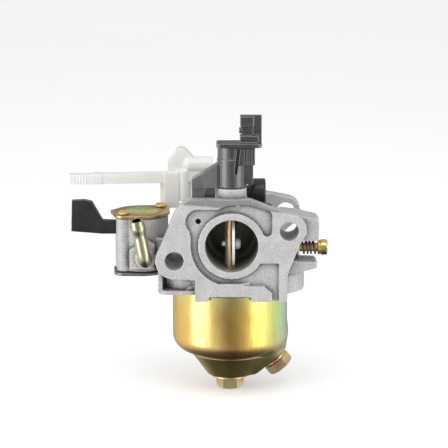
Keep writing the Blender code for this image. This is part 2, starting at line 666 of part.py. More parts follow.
def make_valve_lever():
    """Disc inside the drum, neck through the wall slot, and the upright paddle outside."""
    disc = rod("fuel_valve_lever", 7.1, (VALVE_X, VALVE_Y, 0.6), (VALVE_X, VALVE_Y, 5.4), 24)
    blade = [(-36.0, 0.8), (-46.6, 0.8), (-58.0, 1.7), (-57.6, 13.0), (-53.0, 13.2)]
    blade += [(-50.4, 12.6), (-46.6, 5.8), (-36.0, 5.4)]
    fuse(disc, prism("blade", blade, "Y", VALVE_Y - 1.5, VALVE_Y + 1.5))
    return disc


def make_valve_cover():
    """Zinc-plated plate with a low dome, held by two screws."""
    circles = [(VALVE_X, VALVE_Y, 10.2), (-41.2, 19.5, 2.6)]
    circles += [(x, y, 3.3) for x, y in VALVE_SCREWS]
    underside = VALVE_TOP + 0.25
    plate = prism("fuel_valve_cover", hull_outline(circles), "Z", underside, underside + 1.05)
    dome = [(0, 0.6), (6.6, 0.6), (6.2, 1.5), (4.0, 2.1), (0, 2.3)]
    fuse(plate, turned("dome", dome, (VALVE_X, VALVE_Y, VALVE_TOP), sides=24))
    for x, y in VALVE_SCREWS:
        cut(plate, rod("hole", 1.4, (x, y, 0), (x, y, 20), 12))
    return plate


def make_valve_screws():
    """The cover's two cross-slotted pan-head screws."""
    screws = []
    top = VALVE_TOP + 1.5
    profile = [(0, -6.0), (1.05, -6.0), (1.05, 0), (2.2, 0), (2.2, 0.5), (1.5, 1.1), (0, 1.25)]
    for name, (x, y) in zip(("fuel_valve_screw_front", "fuel_valve_screw_rear"), VALVE_SCREWS):
        screw = turned(name, profile, (x, y, top), sides=12)
        for half_x, half_y in ((0.3, 1.4), (1.4, 0.3)):
            limits = ((x - half_x, x + half_x), (y - half_y, y + half_y), (top + 0.7, top + 3.0))
            cut(screw, block("cross", *limits))
        screws.append(screw)
    return screws


def make_valve_inside():
    """Rubber seal under the lever's disc, wave washer above it, strainer and base plate."""
    at = (VALVE_X, VALVE_Y, 0)
    seal = [(2.0, -2.7), (7.0, -2.7), (7.0, 0.3), (2.0, 0.3)]
    spring = [(4.4, 5.8), (6.8, 5.8), (6.8, 6.5), (4.4, 6.5)]
    strainer = [(0, -9.6), (6.8, -9.6), (6.8, -8.6), (0, -8.2)]
    base_plan = hull_outline([(VALVE_X, VALVE_Y, 10.2), (*VALVE_SCREWS[0], 3.6)])
    base = prism("fuel_valve_base", base_plan, "Z", VALVE_BOTTOM - 1.4, VALVE_BOTTOM - GAP)
    cut(base, block("body_room", (-26.2 - GAP, 0), (0, 40), (-20, 0)))
    return [
        turned("fuel_valve_seal", seal, at, sides=24),
        turned("fuel_valve_spring", spring, at, sides=24),
        turned("fuel_strainer", strainer, at, sides=24),
        base,
    ]


def make_nipple():
    """Bent fuel inlet tube with a barb under its open end."""
    shank = Vector((INLET_X, 10.5, INLET_Z))
    foot = Vector((INLET_X, 5.7, INLET_Z))
    corners = [foot, (INLET_X, 1.9, -7.0), (-30.9, 2.6, -4.4), (-32.2, 3.3, 2.0), (-33.5, 1.3, 9.1)]
    bend = smooth_path(corners, 11)
    route = [shank, foot + Vector((0, 0.01, 0))] + bend
    shank_radii = [1.7, 1.7]
    barb_radii = [2.6, 2.75, 2.5]
    radii = shank_radii + [TUBE_R] * (len(bend) - len(barb_radii)) + barb_radii
    nipple = swept("fuel_inlet_nipple", route, radii, 12)
    beyond_start = shank + Vector((0, 1, 0))
    beyond_end = bend[-1] + (bend[-1] - bend[-2]).normalized()
    bore = [beyond_start, shank] + bend + [beyond_end]
    return cut(nipple, swept("bore", bore, [TUBE_BORE_R] * len(bore), 8))


# ---------------------------------------------------------------- adjusting screws

def make_mixture_screw():
    """Brass needle screw with its slotted head, and the spring that keeps it from turning."""
    profile = [(0, 0), (0.4, 0), (1.55, 4.0), (1.55, 20.0), (2.75, 20.0), (2.8, 23.0)]
    profile += [(2.5, 23.4), (0, 23.4)]
    screw = turned("idle_mixture_screw", profile, (11.0, MIX_Y, MIX_Z), (1, 0, 0), 16)
    cut(screw, block("slot", (33.2, 36.0), (MIX_Y - 4, MIX_Y + 4), (MIX_Z - 0.45, MIX_Z + 0.45)))
    ends = ((24.8, MIX_Y, MIX_Z), (30.55, MIX_Y, MIX_Z))
    spring = coil("idle_mixture_spring", 2.3, SPRING_WIRE_R, *ends, 4)
    return [screw, spring]


def make_stop_screw():
    """Throttle stop screw with a black moulded head, and its spring inside the head."""
    profile = [(0, 0.3), (0.7, 0.3), (1.5, 1.2), (1.5, 8.6), (2.9, 8.6), (2.9, 6.0), (3.8, 6.0)]
    profile += [(4.9, 7.4), (4.9, 11.9), (4.5, 12.3), (0, 12.3)]
    screw = turned("throttle_stop_screw", profile, (0.0, STOP_Y, STOP_Z), (1, 0, 0), 20)
    cut(screw, block("slot", (11.4, 14.0), (STOP_Y - 0.6, STOP_Y + 0.6), (STOP_Z - 6, STOP_Z + 6)))
    ends = ((5.1, STOP_Y, STOP_Z), (8.1, STOP_Y, STOP_Z))
    spring = coil("throttle_stop_spring", 2.2, SPRING_WIRE_R, *ends, 2)
    return [screw, spring]


# ---------------------------------------------------------------- materials and assembly

MATERIALS = {
    "cast_aluminium": ((0.56, 0.56, 0.57), 0.5, 0.7),
    "yellow_zinc": ((0.72, 0.58, 0.22), 0.28, 1.0),
    "brass": ((0.72, 0.52, 0.22), 0.3, 1.0),
    "steel": ((0.55, 0.55, 0.54), 0.35, 1.0),
    "grey_steel": ((0.3, 0.29, 0.29), 0.45, 1.0),
    "black_plastic": ((0.035, 0.035, 0.037), 0.45, 0.0),
    "white_plastic": ((0.82, 0.81, 0.78), 0.4, 0.0),
    "rubber": ((0.02, 0.02, 0.02), 0.8, 0.0),
    "float_plastic": ((0.25, 0.2, 0.12), 0.5, 0.0),
}

MATERIAL_OF = {
    "carburetor_body": "cast_aluminium", "float_bowl": "yellow_zinc", "bowl_gasket": "rubber",
    "bowl_bolt": "yellow_zinc", "bowl_bolt_washer": "yellow_zinc", "drain_screw": "yellow_zinc",
    "drain_screw_washer": "yellow_zinc", "float": "float_plastic", "float_pin": "steel",
    "inlet_needle": "brass", "needle_seat": "brass", "main_jet": "brass", "main_nozzle": "brass",
    "pilot_jet": "black_plastic", "throttle_shaft": "brass", "throttle_plate": "steel",
    "throttle_plate_screw": "steel", "throttle_lever": "black_plastic", "choke_shaft": "steel",
    "choke_plate": "steel", "choke_plate_screw_lower": "steel", "choke_plate_screw_upper": "steel",
    "choke_lever": "white_plastic", "fuel_valve_lever": "black_plastic", "fuel_valve_cover": "yellow_zinc",
    "fuel_valve_screw_front": "brass", "fuel_valve_screw_rear": "brass", "fuel_valve_seal": "rubber",
    "fuel_valve_spring": "steel", "fuel_strainer": "white_plastic", "fuel_valve_base": "grey_steel",
    "fuel_inlet_nipple": "yellow_zinc", "idle_mixture_screw": "brass", "idle_mixture_spring": "grey_steel",
    "throttle_stop_screw": "black_plastic", "throttle_stop_spring": "grey_steel",
}

# The axis that each group of moving pieces turns on or slides along.
PIVOTS = {
    "throttle_pivot": (
        (0, THROTTLE_Y, 0),
        ("throttle_shaft", "throttle_plate", "throttle_plate_screw", "throttle_lever"),
    ),
    "choke_pivot": (
        (0, CHOKE_Y, 0),
        ("choke_shaft", "choke_plate", "choke_plate_screw_lower", "choke_plate_screw_upper", "choke_lever"),
    ),
    "fuel_valve_pivot": ((VALVE_X, VALVE_Y, 0), ("fuel_valve_lever",)),
    "float_pivot": (FLOAT_PIN, ("float",)),
    "needle_slide": ((NEEDLE_X, BOWL_Y, 0), ("inlet_needle",)),
    "mixture_turn": ((0, MIX_Y, MIX_Z), ("idle_mixture_screw",)),
    "stop_turn": ((0, STOP_Y, STOP_Z), ("throttle_stop_screw",)),
}


def make_materials():
    made = {}
    for name, (colour, roughness, metallic) in MATERIALS.items():
        material = bpy.data.materials.new(name)
        material.use_nodes = True
        shader = material.node_tree.nodes["Principled BSDF"]
        shader.inputs["Base Color"].default_value = (*colour, 1.0)
        shader.inputs["Roughness"].default_value = roughness
        shader.inputs["Metallic"].default_value = metallic
        made[name] = material
    return made


def finish_objects(objects):
    """Give each object its material and shading, and scale it to metres."""
    materials = make_materials()
    for made in objects:
        made.data.materials.clear()
        made.data.materials.append(materials[MATERIAL_OF[made.name]])
        made.data.transform(Matrix.Scale(METRES_PER_MM, 4))
        made.data.shade_smooth()
        made.data.set_sharp_from_angle(angle=math.radians(35))


def hang_on_pivots():
    """Parent every moving piece to an empty that stands on its joint's axis."""
    for name, (place, members) in PIVOTS.items():
        pivot = bpy.data.objects.new(name, None)
        pivot.empty_display_size = 0.005
        pivot.location = Vector(place) * METRES_PER_MM
        bpy.context.scene.collection.objects.link(pivot)
        for member in members:
            piece = bpy.data.objects[member]
            piece.data.transform(Matrix.Translation(-pivot.location))
            piece.parent = pivot


def main():
    for old in list(bpy.data.objects):
        bpy.data.objects.remove(old)
    pieces = [make_body(), make_bowl(), make_float(), make_throttle_shaft(), make_throttle_plate(),
              make_throttle_screw(), make_throttle_lever(), make_choke_shaft(), make_choke_plate(),
              make_choke_lever(), make_valve_lever(), make_valve_cover(), make_nipple()]
    pieces += make_bowl_fasteners() + make_float_gear() + make_jets() + make_choke_screws()
    pieces += make_valve_screws() + make_valve_inside() + make_mixture_screw() + make_stop_screw()
    finish_objects(pieces)
    hang_on_pivots()


main()
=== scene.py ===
"""Looks for the carburetor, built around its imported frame.

Sizes are in millimetres in the object's own frame: the origin is the centre of the throttle
bore on the engine face, +Y runs to the air cleaner and +Z is up. Finished meshes are in metres.
"""

import json
import math

import bmesh
import bpy
import numpy as np
from mathutils import Matrix, Vector


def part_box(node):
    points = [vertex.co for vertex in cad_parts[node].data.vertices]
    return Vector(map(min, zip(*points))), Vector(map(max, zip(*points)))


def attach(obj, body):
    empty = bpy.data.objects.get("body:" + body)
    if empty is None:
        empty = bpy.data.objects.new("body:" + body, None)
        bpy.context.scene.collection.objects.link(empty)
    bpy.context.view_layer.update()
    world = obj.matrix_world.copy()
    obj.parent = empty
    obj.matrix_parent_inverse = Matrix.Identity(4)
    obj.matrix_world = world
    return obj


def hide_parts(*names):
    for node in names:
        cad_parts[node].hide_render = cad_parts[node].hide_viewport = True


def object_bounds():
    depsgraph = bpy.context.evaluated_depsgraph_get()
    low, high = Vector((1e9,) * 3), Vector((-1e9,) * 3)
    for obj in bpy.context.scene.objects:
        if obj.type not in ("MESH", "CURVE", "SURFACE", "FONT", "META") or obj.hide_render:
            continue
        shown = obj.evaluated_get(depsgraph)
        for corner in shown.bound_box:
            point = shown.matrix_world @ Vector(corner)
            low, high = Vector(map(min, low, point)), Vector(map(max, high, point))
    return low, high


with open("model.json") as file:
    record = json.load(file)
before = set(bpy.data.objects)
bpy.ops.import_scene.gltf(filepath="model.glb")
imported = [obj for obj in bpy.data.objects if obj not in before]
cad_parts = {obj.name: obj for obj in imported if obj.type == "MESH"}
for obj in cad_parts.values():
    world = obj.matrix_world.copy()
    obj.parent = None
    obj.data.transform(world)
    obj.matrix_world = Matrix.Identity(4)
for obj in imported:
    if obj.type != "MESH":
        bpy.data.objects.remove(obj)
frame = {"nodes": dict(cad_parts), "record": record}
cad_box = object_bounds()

MM = 0.001

# Places taken from the frame
RECORD = frame["record"]
BODY_OF = {node: body for body, nodes in RECORD["behaviour"]["bodies"].items() for node in nodes}
SLOT_OF = {part["node"]: part["material_slot"] for part in RECORD["subparts"]}


def box_mm(node):
    """Lowest and highest corner of a CAD node, in millimetres."""
    low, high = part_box(node)
    return low / MM, high / MM


def middle(node):
    """The middle of a CAD node's box, in millimetres."""
    low, high = box_mm(node)
    return (low + high) / 2


def upright_axis(node):
    """The point at height 0 below or above a node's middle."""
    centre = middle(node)
    return Vector((centre.x, centre.y, 0))


BOWL_AXIS = upright_axis("bowl_bolt_washer")
BOWL_TOP = box_mm("float_bowl")[1].z
BOWL_R = BOWL_AXIS.x - box_mm("float_bowl")[0].x
SUMP_Z = box_mm("float_bowl")[0].z
THROTTLE_Y = middle("throttle_shaft").y
CHOKE_Y = middle("choke_shaft").y
VALVE = upright_axis("fuel_valve_seal")
MIX = middle("idle_mixture_screw")
STOP = middle("throttle_stop_screw")
JET = upright_axis("pilot_jet")
INLET_X = -30.6
INLET_Z = -6.2
STUD_SPACING = 42.0
STUD_TILT = math.radians(14.8)
STUD = Vector((math.cos(STUD_TILT), 0, math.sin(STUD_TILT))) * STUD_SPACING / 2
DRAIN_ANGLE = math.radians(50.0)
DRAIN_AXIS = Vector((math.cos(DRAIN_ANGLE), 0, -math.sin(DRAIN_ANGLE)))
DRAIN_SLOPE = Vector((math.sin(DRAIN_ANGLE), 0, math.cos(DRAIN_ANGLE)))
DRAIN_FACE = Vector((15.6, BOWL_AXIS.y, -46.5))
HEX_FLATS = 8.8
BOLT_HOLE_R = 3.3
WIRE_R = 0.32
WELD = 0.001      # points closer than this are one point

X_AXIS = Vector((1, 0, 0))
Y_AXIS = Vector((0, 1, 0))
Z_AXIS = Vector((0, 0, 1))


# ---------------------------------------------------------------- mesh helpers

def new_piece(name, builder):
    """Turn a bmesh in millimetres into an object in metres with its faces pointing out."""
    bmesh.ops.recalc_face_normals(builder, faces=builder.faces)
    mesh = bpy.data.meshes.new(name)
    builder.to_mesh(mesh)
    builder.free()
    mesh.transform(Matrix.Scale(MM, 4))
    piece = bpy.data.objects.new(name, mesh)
    bpy.context.scene.collection.objects.link(piece)
    return piece


def settle(piece):
    """Apply a piece's modifiers to its mesh."""
    graph = bpy.context.evaluated_depsgraph_get()
    result = bpy.data.meshes.new_from_object(piece.evaluated_get(graph))
    piece.modifiers.clear()
    piece.data = result


ON_AXIS = 1e-6


def rounded_profile(corners, radius=0.15, steps=4):
    """A closed (radius, height) outline with each marked corner turned into a small arc.

    A corner's third value is its own radius, and 0 leaves it sharp. One on the axis stays sharp.
    """
    longest = 0.45      # share of a neighbouring line that an arc may use
    outline = []
    count = len(corners)
    for i, corner in enumerate(corners):
        here = Vector(corner[:2])
        size = corner[2] if len(corner) > 2 else radius
        if here.x < ON_AXIS or size == 0:
            outline.append(tuple(here))
            continue
        before = Vector(corners[i - 1][:2]) - here
        after = Vector(corners[(i + 1) % count][:2]) - here
        size = min(size, before.length * longest, after.length * longest)
        start = here + before.normalized() * size
        end = here + after.normalized() * size
        for k in range(steps + 1):
            share = k / steps
            first = start.lerp(here, share)
            second = here.lerp(end, share)
            outline.append(tuple(first.lerp(second, share)))
    return outline


def circle(builder, radius, height, sides):
    """New points round the Z axis."""
    ring = []
    for i in range(sides):
        angle = math.tau * i / sides
        ring.append(builder.verts.new((radius * math.cos(angle), radius * math.sin(angle), height)))
    return ring


def aim(builder, at, direction):
    """Turn a bmesh's +Z to a direction and move its origin to a point."""
    turn = Z_AXIS.rotation_difference(Vector(direction).normalized()).to_matrix().to_4x4()
    builder.transform(Matrix.Translation(Vector(at)) @ turn)


def lathe(name, corners, at, direction=Z_AXIS, sides=64, radius=0.15):
    """A closed outline turned about a line through a point."""
    outline = rounded_profile(corners, radius)
    builder = bmesh.new()
    rings = []
    for distance, height in outline:
        if distance < ON_AXIS:
            rings.append([builder.verts.new((0, 0, height))])
        else:
            rings.append(circle(builder, distance, height, sides))
    pairs = list(zip(rings, rings[1:]))
    if outline[0][0] > ON_AXIS:
        pairs.append((rings[-1], rings[0]))
    for low, high in pairs:
        for i in range(sides):
            after = i + 1
            face = [low[i % len(low)], low[after % len(low)]]
            face += [high[after % len(high)], high[i % len(high)]]
            builder.faces.new(list(dict.fromkeys(face)))
    aim(builder, at, direction)
    return new_piece(name, builder)


def tube_along(name, path, radii, sides, bore=None):
    """A round tube along a path, with a radius at each point. A bore leaves it open at its end."""
    builder = bmesh.new()
    rings = []
    side = None
    for i, point in enumerate(path):
        ahead = path[min(i + 1, len(path) - 1)] - path[max(i - 1, 0)]
        ahead.normalize()
        if side is None:
            side = ahead.orthogonal()
        side = (side - ahead * side.dot(ahead)).normalized()
        other = ahead.cross(side)
        outer = []
        inner = []
        for k in range(sides):
            angle = math.tau * k / sides
            outward = side * math.cos(angle) + other * math.sin(angle)
            outer.append(builder.verts.new(point + outward * radii[i]))
            if bore:
                inner.append(builder.verts.new(point + outward * bore))
        rings.append((outer, inner))
    for (low_outer, low_inner), (high_outer, high_inner) in zip(rings, rings[1:]):
        join_rings(builder, low_outer, high_outer)
        if bore:
            join_rings(builder, low_inner, high_inner)
    for outer, inner in (rings[0], rings[-1]):
        if bore:
            join_rings(builder, outer, inner)
        else:
            builder.faces.new(outer)
    return new_piece(name, builder)


def join_rings(builder, low, high):
    """A band of faces between two rings with as many points."""
    for k in range(len(low)):
        after = (k + 1) % len(low)
        builder.faces.new((low[k], low[after], high[after], high[k]))


def bezier(corners, steps):
    """Points of a Bezier curve whose control points are the corners."""
    points = []
    for i in range(steps + 1):
        layer = [Vector(c) for c in corners]
        while len(layer) > 1:
            layer = [a.lerp(b, i / steps) for a, b in zip(layer, layer[1:])]
        points.append(layer[0])
    return points


def refined(node, voxel, smoothing, walls, budget=170_000, filling=None):
    """A copy of a CAD node with softly rounded edges and truly round walls.

    Walls are (point, direction, radius) in millimetres. Voxel is the grid's size in millimetres.
    Filling is a closed piece that is merged in first, and then removed. Budget is in triangles.
    """
    mesh = frame["nodes"][node].data.copy()
    builder = bmesh.new()
    builder.from_mesh(mesh)
    bmesh.ops.remove_doubles(builder, verts=builder.verts, dist=WELD * MM)
    if filling:
        builder.from_mesh(filling.data)
        bpy.data.objects.remove(filling)
    builder.to_mesh(mesh)
    builder.free()
    piece = bpy.data.objects.new(node + "_detail", mesh)
    bpy.context.scene.collection.objects.link(piece)
    remesh = piece.modifiers.new("grid", "REMESH")
    remesh.mode = "VOXEL"
    remesh.voxel_size = voxel * MM
    settle(piece)
    snap_walls(piece.data, walls, voxel)
    soften = piece.modifiers.new("soften", "SMOOTH")
    soften.iterations = smoothing
    settle(piece)
    snap_walls(piece.data, walls, voxel)
    piece.data.calc_loop_triangles()
    triangles = len(piece.data.loop_triangles)
    if triangles > budget:
        thin = piece.modifiers.new("thin", "DECIMATE")
        thin.ratio = budget / triangles
        settle(piece)
    return piece


def snap_walls(mesh, walls, voxel):
    """Move the points that lie near a round wall, and face along its radius, onto it."""
    reach = voxel * 0.6
    least_facing = 0.93
    count = len(mesh.vertices)
    places = np.empty(count * 3)
    normals = np.empty(count * 3)
    mesh.vertices.foreach_get("co", places)
    mesh.vertex_normals.foreach_get("vector", normals)
    places = places.reshape(-1, 3) / MM
    normals = normals.reshape(-1, 3)
    for point, direction, radius in walls:
        line = np.array(Vector(direction).normalized())
        offset = places - np.array(point)
        along = offset @ line
        radial = offset - np.outer(along, line)
        distance = np.maximum(np.linalg.norm(radial, axis=1), 1e-6)
        facing = np.abs((normals * radial).sum(1)) / distance
        near = (np.abs(distance - radius) < reach) & (facing > least_facing)
        places[near] += radial[near] * (radius / distance[near] - 1)[:, None]
    mesh.vertices.foreach_set("co", (places * MM).ravel())
    mesh.update()


# ---------------------------------------------------------------- material helpers

class Tree:
    """A node tree, with short calls for the nodes used here."""

    def __init__(self, tree):
        self.nodes = tree.nodes
        self.links = tree.links

    def node(self, kind, **values):
        """A new node with its settings."""
        made = self.nodes.new(kind)
        for key, value in values.items():
            setattr(made, key, value)
        return made

    def feed(self, socket, value):
        """Link a socket to another, or set its constant."""
        if isinstance(value, bpy.types.NodeSocket):
            self.links.new(value, socket)
        else:
            socket.default_value = value

    def math(self, operation, first, second=0.0):
        """One Math node's result."""
        made = self.node("ShaderNodeMath", operation=operation)
        self.feed(made.inputs[0], first)
        self.feed(made.inputs[1], second)
        return made.outputs[0]

    def spread(self, value, low, high, new_low=0.0, new_high=1.0):
        """A value mapped from one range to another and held within it."""
        made = self.node("ShaderNodeMapRange")
        for index, given in enumerate((value, low, high, new_low, new_high)):
            self.feed(made.inputs[index], given)
        return made.outputs[0]

    def ramp(self, value, stops):
        """Colours along a value from 0 to 1, given as (position, colour)."""
        made = self.node("ShaderNodeValToRGB")
        elements = made.color_ramp.elements
        elements[0].position, elements[0].color = stops[0][0], (*stops[0][1], 1)
        elements[1].position, elements[1].color = stops[-1][0], (*stops[-1][1], 1)
        for position, colour in stops[1:-1]:
            elements.new(position).color = (*colour, 1)
        self.feed(made.inputs[0], value)
        return made.outputs[0]

    def levels(self, value, low, high, stops):
        """Grey levels along a range of values."""
        return self.ramp(self.spread(value, low, high), [(at, (level,) * 3) for at, level in stops])


class Shading(Tree):
    """A material on the Principled shader, with its place given in the object's own metres."""

    def __init__(self, name, roughness, metallic, specular=0.5):
        self.material = bpy.data.materials.new(name)
        self.material.use_nodes = True
        super().__init__(self.material.node_tree)
        self.shader = self.nodes["Principled BSDF"]
        self.shader.inputs["Roughness"].default_value = roughness
        self.shader.inputs["Metallic"].default_value = metallic
        self.shader.inputs["Specular IOR Level"].default_value = specular
        self.place = self.node("ShaderNodeTexCoord").outputs["Object"]

    def noise(self, size, detail, stretch=None, distortion=0.0):
        """Noise whose features are about size millimetres, optionally stretched per axis."""
        made = self.node("ShaderNodeTexNoise")
        made.inputs["Scale"].default_value = 1.0 / (size * MM)
        made.inputs["Detail"].default_value = detail
        made.inputs["Distortion"].default_value = distortion
        source = self.place
        if stretch:
            mapping = self.node("ShaderNodeMapping")
            mapping.inputs["Scale"].default_value = stretch
            self.feed(mapping.inputs["Vector"], self.place)
            source = mapping.outputs["Vector"]
        self.feed(made.inputs["Vector"], source)
        return made.outputs["Fac"]

    def split(self):
        """The X, Y and Z of the place, in metres."""
        made = self.node("ShaderNodeSeparateXYZ")
        self.feed(made.inputs[0], self.place)
        return made.outputs

    def distance(self, first, second):
        """How far out a place is, from its two offsets."""
        squares = self.math("ADD", self.math("POWER", first, 2.0), self.math("POWER", second, 2.0))
        return self.math("SQRT", squares)

    def mix(self, share, first, second, blend_type="MIX"):
        """The first colour at a share of 0 and the second at 1."""
        made = self.node("ShaderNodeMix", data_type="RGBA", blend_type=blend_type)
        self.feed(made.inputs["Factor"], share)
        for socket, value in ((made.inputs[6], first), (made.inputs[7], second)):
            self.feed(socket, value if isinstance(value, bpy.types.NodeSocket) else (*value, 1))
        return made.outputs[2]

    def grey(self, value):
        """One value as a grey colour."""
        made = self.node("ShaderNodeCombineColor")
        for socket in made.inputs:
            self.feed(socket, value)
        return made.outputs[0]

    def openness(self, reach):
        """1 in the open and lower where the piece itself closes in within a reach in millimetres."""
        made = self.node("ShaderNodeAmbientOcclusion", samples=6, only_local=True)
        made.inputs["Distance"].default_value = reach * MM
        return made.outputs["AO"]

    def throat_painted_shade(self, tone):
        """The tone given, darkened by painted shade inside the air passage behind its front edge."""
        x, y, z = self.split()
        in_passage = self.spread(self.distance(x, z), 10.2 * MM, 9.9 * MM)
        behind_edge = self.spread(y, 0.4 * MM, 1.0 * MM)
        # Painted shade: darker tones deeper in the passage, where little light reaches.
        stain_and_painted_shade = self.ramp(self.spread(y, 0.0, 10 * MM), [
            (0.10, (0.34, 0.33, 0.31)),
            (0.42, (0.28, 0.27, 0.25)),
            (0.52, (0.20, 0.195, 0.18)),
        ])
        return self.mix(self.math("MULTIPLY", in_passage, behind_edge), tone, stain_and_painted_shade)

    def painted_shade_top_strip(self):
        """1 on the engine face's top strip above the milled face, where a darker tone is painted in as
        shade.
        """
        x, y, z = self.split()
        slope = 0.081
        height = self.math("ADD", z, self.math("MULTIPLY", x, slope))
        above_milling = self.spread(height, 13.3 * MM, 13.9 * MM)
        on_face = self.spread(y, 0.9 * MM, 0.5 * MM)
        return self.math("MULTIPLY", above_milling, on_face)

    def edges(self, low, high):
        """0 in hollows and 1 on sharp outer edges."""
        made = self.node("ShaderNodeNewGeometry")
        return self.spread(made.outputs["Pointiness"], low, high)

    def bump(self, height, depth, after=None):
        """Relief of a depth in millimetres on the shader's normal."""
        made = self.node("ShaderNodeBump")
        made.inputs["Strength"].default_value = 1.0
        made.inputs["Distance"].default_value = depth * MM
        self.feed(made.inputs["Height"], height)
        if after:
            self.feed(made.inputs["Normal"], after)
        self.feed(self.shader.inputs["Normal"], made.outputs[0])
        return made.outputs[0]

    def colour(self, value):
        self.feed(self.shader.inputs["Base Color"], value)

    def roughness(self, value):
        self.feed(self.shader.inputs["Roughness"], value)


def cast_aluminium():
    """Die-cast skin: soft mottle, sandy grain, painted shade in the hollows, on the engine face's top strip
    and inside the air passage, and bare metal on the edges.
    """
    shading = Shading("cast_aluminium", 0.5, 0.22)
    mottle = shading.noise(5.0, 4.0)
    grain = shading.noise(0.42, 3.0)
    tone = shading.ramp(mottle, [(0.3, (0.52, 0.515, 0.51)), (0.7, (0.64, 0.635, 0.63))])
    sand = shading.spread(grain, 0.32, 0.68, 0.70, 1.14)
    tone = shading.mix(1.0, tone, shading.grey(sand), "MULTIPLY")
    specks = shading.spread(shading.noise(0.7, 1.0), 0.66, 0.72)
    tone = shading.mix(shading.math("MULTIPLY", specks, 0.5), tone, (0.20, 0.195, 0.19))
    # Painted shade: a dark tone where the piece closes in on itself and in sharp hollows, standing in for
    # the shade that falls there.
    open_air = shading.openness(3.0)
    tone = shading.mix(shading.spread(open_air, 0.34, 0.90), (0.075, 0.072, 0.068), tone)
    tone = shading.mix(shading.edges(0.462, 0.497), (0.11, 0.105, 0.10), tone)
    bright = shading.edges(0.515, 0.56)
    tone = shading.mix(shading.math("MULTIPLY", bright, 0.45), tone, (0.82, 0.82, 0.81))
    # Painted shade: darkens the engine face's top strip.
    skin = shading.math("MULTIPLY", shading.painted_shade_top_strip(), 0.9)
    tone = shading.mix(skin, tone, shading.mix(1.0, tone, (0.42, 0.42, 0.415), "MULTIPLY"))
    shading.colour(shading.throat_painted_shade(tone))
    shading.roughness(shading.spread(grain, 0.3, 0.7, 0.40, 0.58))
    coarse = shading.bump(shading.noise(1.4, 2.0), 0.07)
    shading.bump(grain, 0.08, coarse)
    return shading.material


def zinc_film(name, tones, gloss=0.23):
    """Chromate plating on a small piece, drifting through a few tones."""
    shading = Shading(name, 0.25, 1.0)
    film = shading.noise(6.0, 2.0, distortion=0.4)
    places = np.linspace(0.30, 0.68, len(tones))
    return finish_plating(shading, shading.ramp(film, list(zip(places, tones))), 0.4, gloss)


def cover_zinc():
    """The valve cover's plating: pale green on its dome and bronze towards its rim."""
    shading = Shading("yellow_zinc_cover", 0.3, 1.0)
    x, y = shading.split()[:2]
    east = shading.math("SUBTRACT", x, VALVE.x * MM)
    north = shading.math("SUBTRACT", y, VALVE.y * MM)
    drift = shading.spread(shading.noise(5.0, 2.0), 0.3, 0.7, -1.5 * MM, 1.5 * MM)
    radius = shading.math("ADD", shading.distance(east, north), drift)
    film = shading.ramp(shading.spread(radius, 2.0 * MM, 11.0 * MM), [
        (0.10, (0.72, 0.76, 0.34)),
        (0.45, (0.66, 0.62, 0.28)),
        (0.70, (0.56, 0.34, 0.18)),
        (1.00, (0.62, 0.46, 0.20)),
    ])
    return finish_plating(shading, film, 0.6)


def bowl_zinc():
    """The cup's plating: its rainbow film changes round the cup and down its wall, and its tones round the
    cup also paint the room's reflection.
    """
    shading = Shading("yellow_zinc_bowl", 0.25, 1.0)
    x, y, z = shading.split()
    east = shading.math("SUBTRACT", x, BOWL_AXIS.x * MM)
    south = shading.math("SUBTRACT", BOWL_AXIS.y * MM, y)
    turn = shading.math("ARCTAN2", east, south)
    drift = shading.spread(shading.noise(16.0, 2.0), 0.3, 0.7, -0.025, 0.025)
    film = shading.math("ADD", shading.spread(turn, -math.pi, math.pi), drift)
    # Real rainbow film and painted reflection: a pale band where the left box's highlight falls, and darker
    # brown on the side facing the camera.
    round_film_and_painted_reflection = shading.ramp(film, [
        (0.00, (0.80, 0.55, 0.16)),
        (0.25, (0.60, 0.48, 0.18)),
        (0.29, (0.80, 0.60, 0.22)),
        (0.34, (0.88, 0.58, 0.15)),
        (0.38, (0.86, 0.60, 0.17)),
        (0.42, (0.88, 0.80, 0.32)),
        (0.45, (0.86, 0.66, 0.24)),
        (0.50, (0.56, 0.34, 0.095)),
        (0.55, (0.82, 0.56, 0.14)),
        (0.58, (0.88, 0.72, 0.17)),
        (0.61, (0.84, 0.82, 0.22)),
        (0.64, (0.60, 0.78, 0.28)),
        (0.69, (0.54, 0.82, 0.54)),
        (0.74, (0.44, 0.62, 0.62)),
        (0.88, (0.86, 0.60, 0.18)),
        (1.00, (0.80, 0.55, 0.16)),
    ])
    height = shading.spread(z, -52.2 * MM, -19.0 * MM)
    down_film = shading.ramp(height, [
        (0.02, (0.66, 0.44, 0.18)),
        (0.20, (0.58, 0.45, 0.14)),
        (0.27, (0.70, 0.62, 0.30)),
        (0.31, (0.62, 0.28, 0.20)),
        (0.40, (0.86, 0.42, 0.18)),
        (0.60, (0.86, 0.50, 0.14)),
        (1.00, (0.70, 0.82, 0.40)),
    ])
    share = shading.ramp(height, [
        (0.18, (0.85, 0.85, 0.85)),
        (0.32, (0.75, 0.75, 0.75)),
        (0.46, (0.30, 0.30, 0.30)),
        (0.75, (0.0, 0.0, 0.0)),
        (1.00, (0.40, 0.40, 0.40)),
    ])
    return finish_plating(shading, shading.mix(share, round_film_and_painted_reflection, down_film), 0.5)


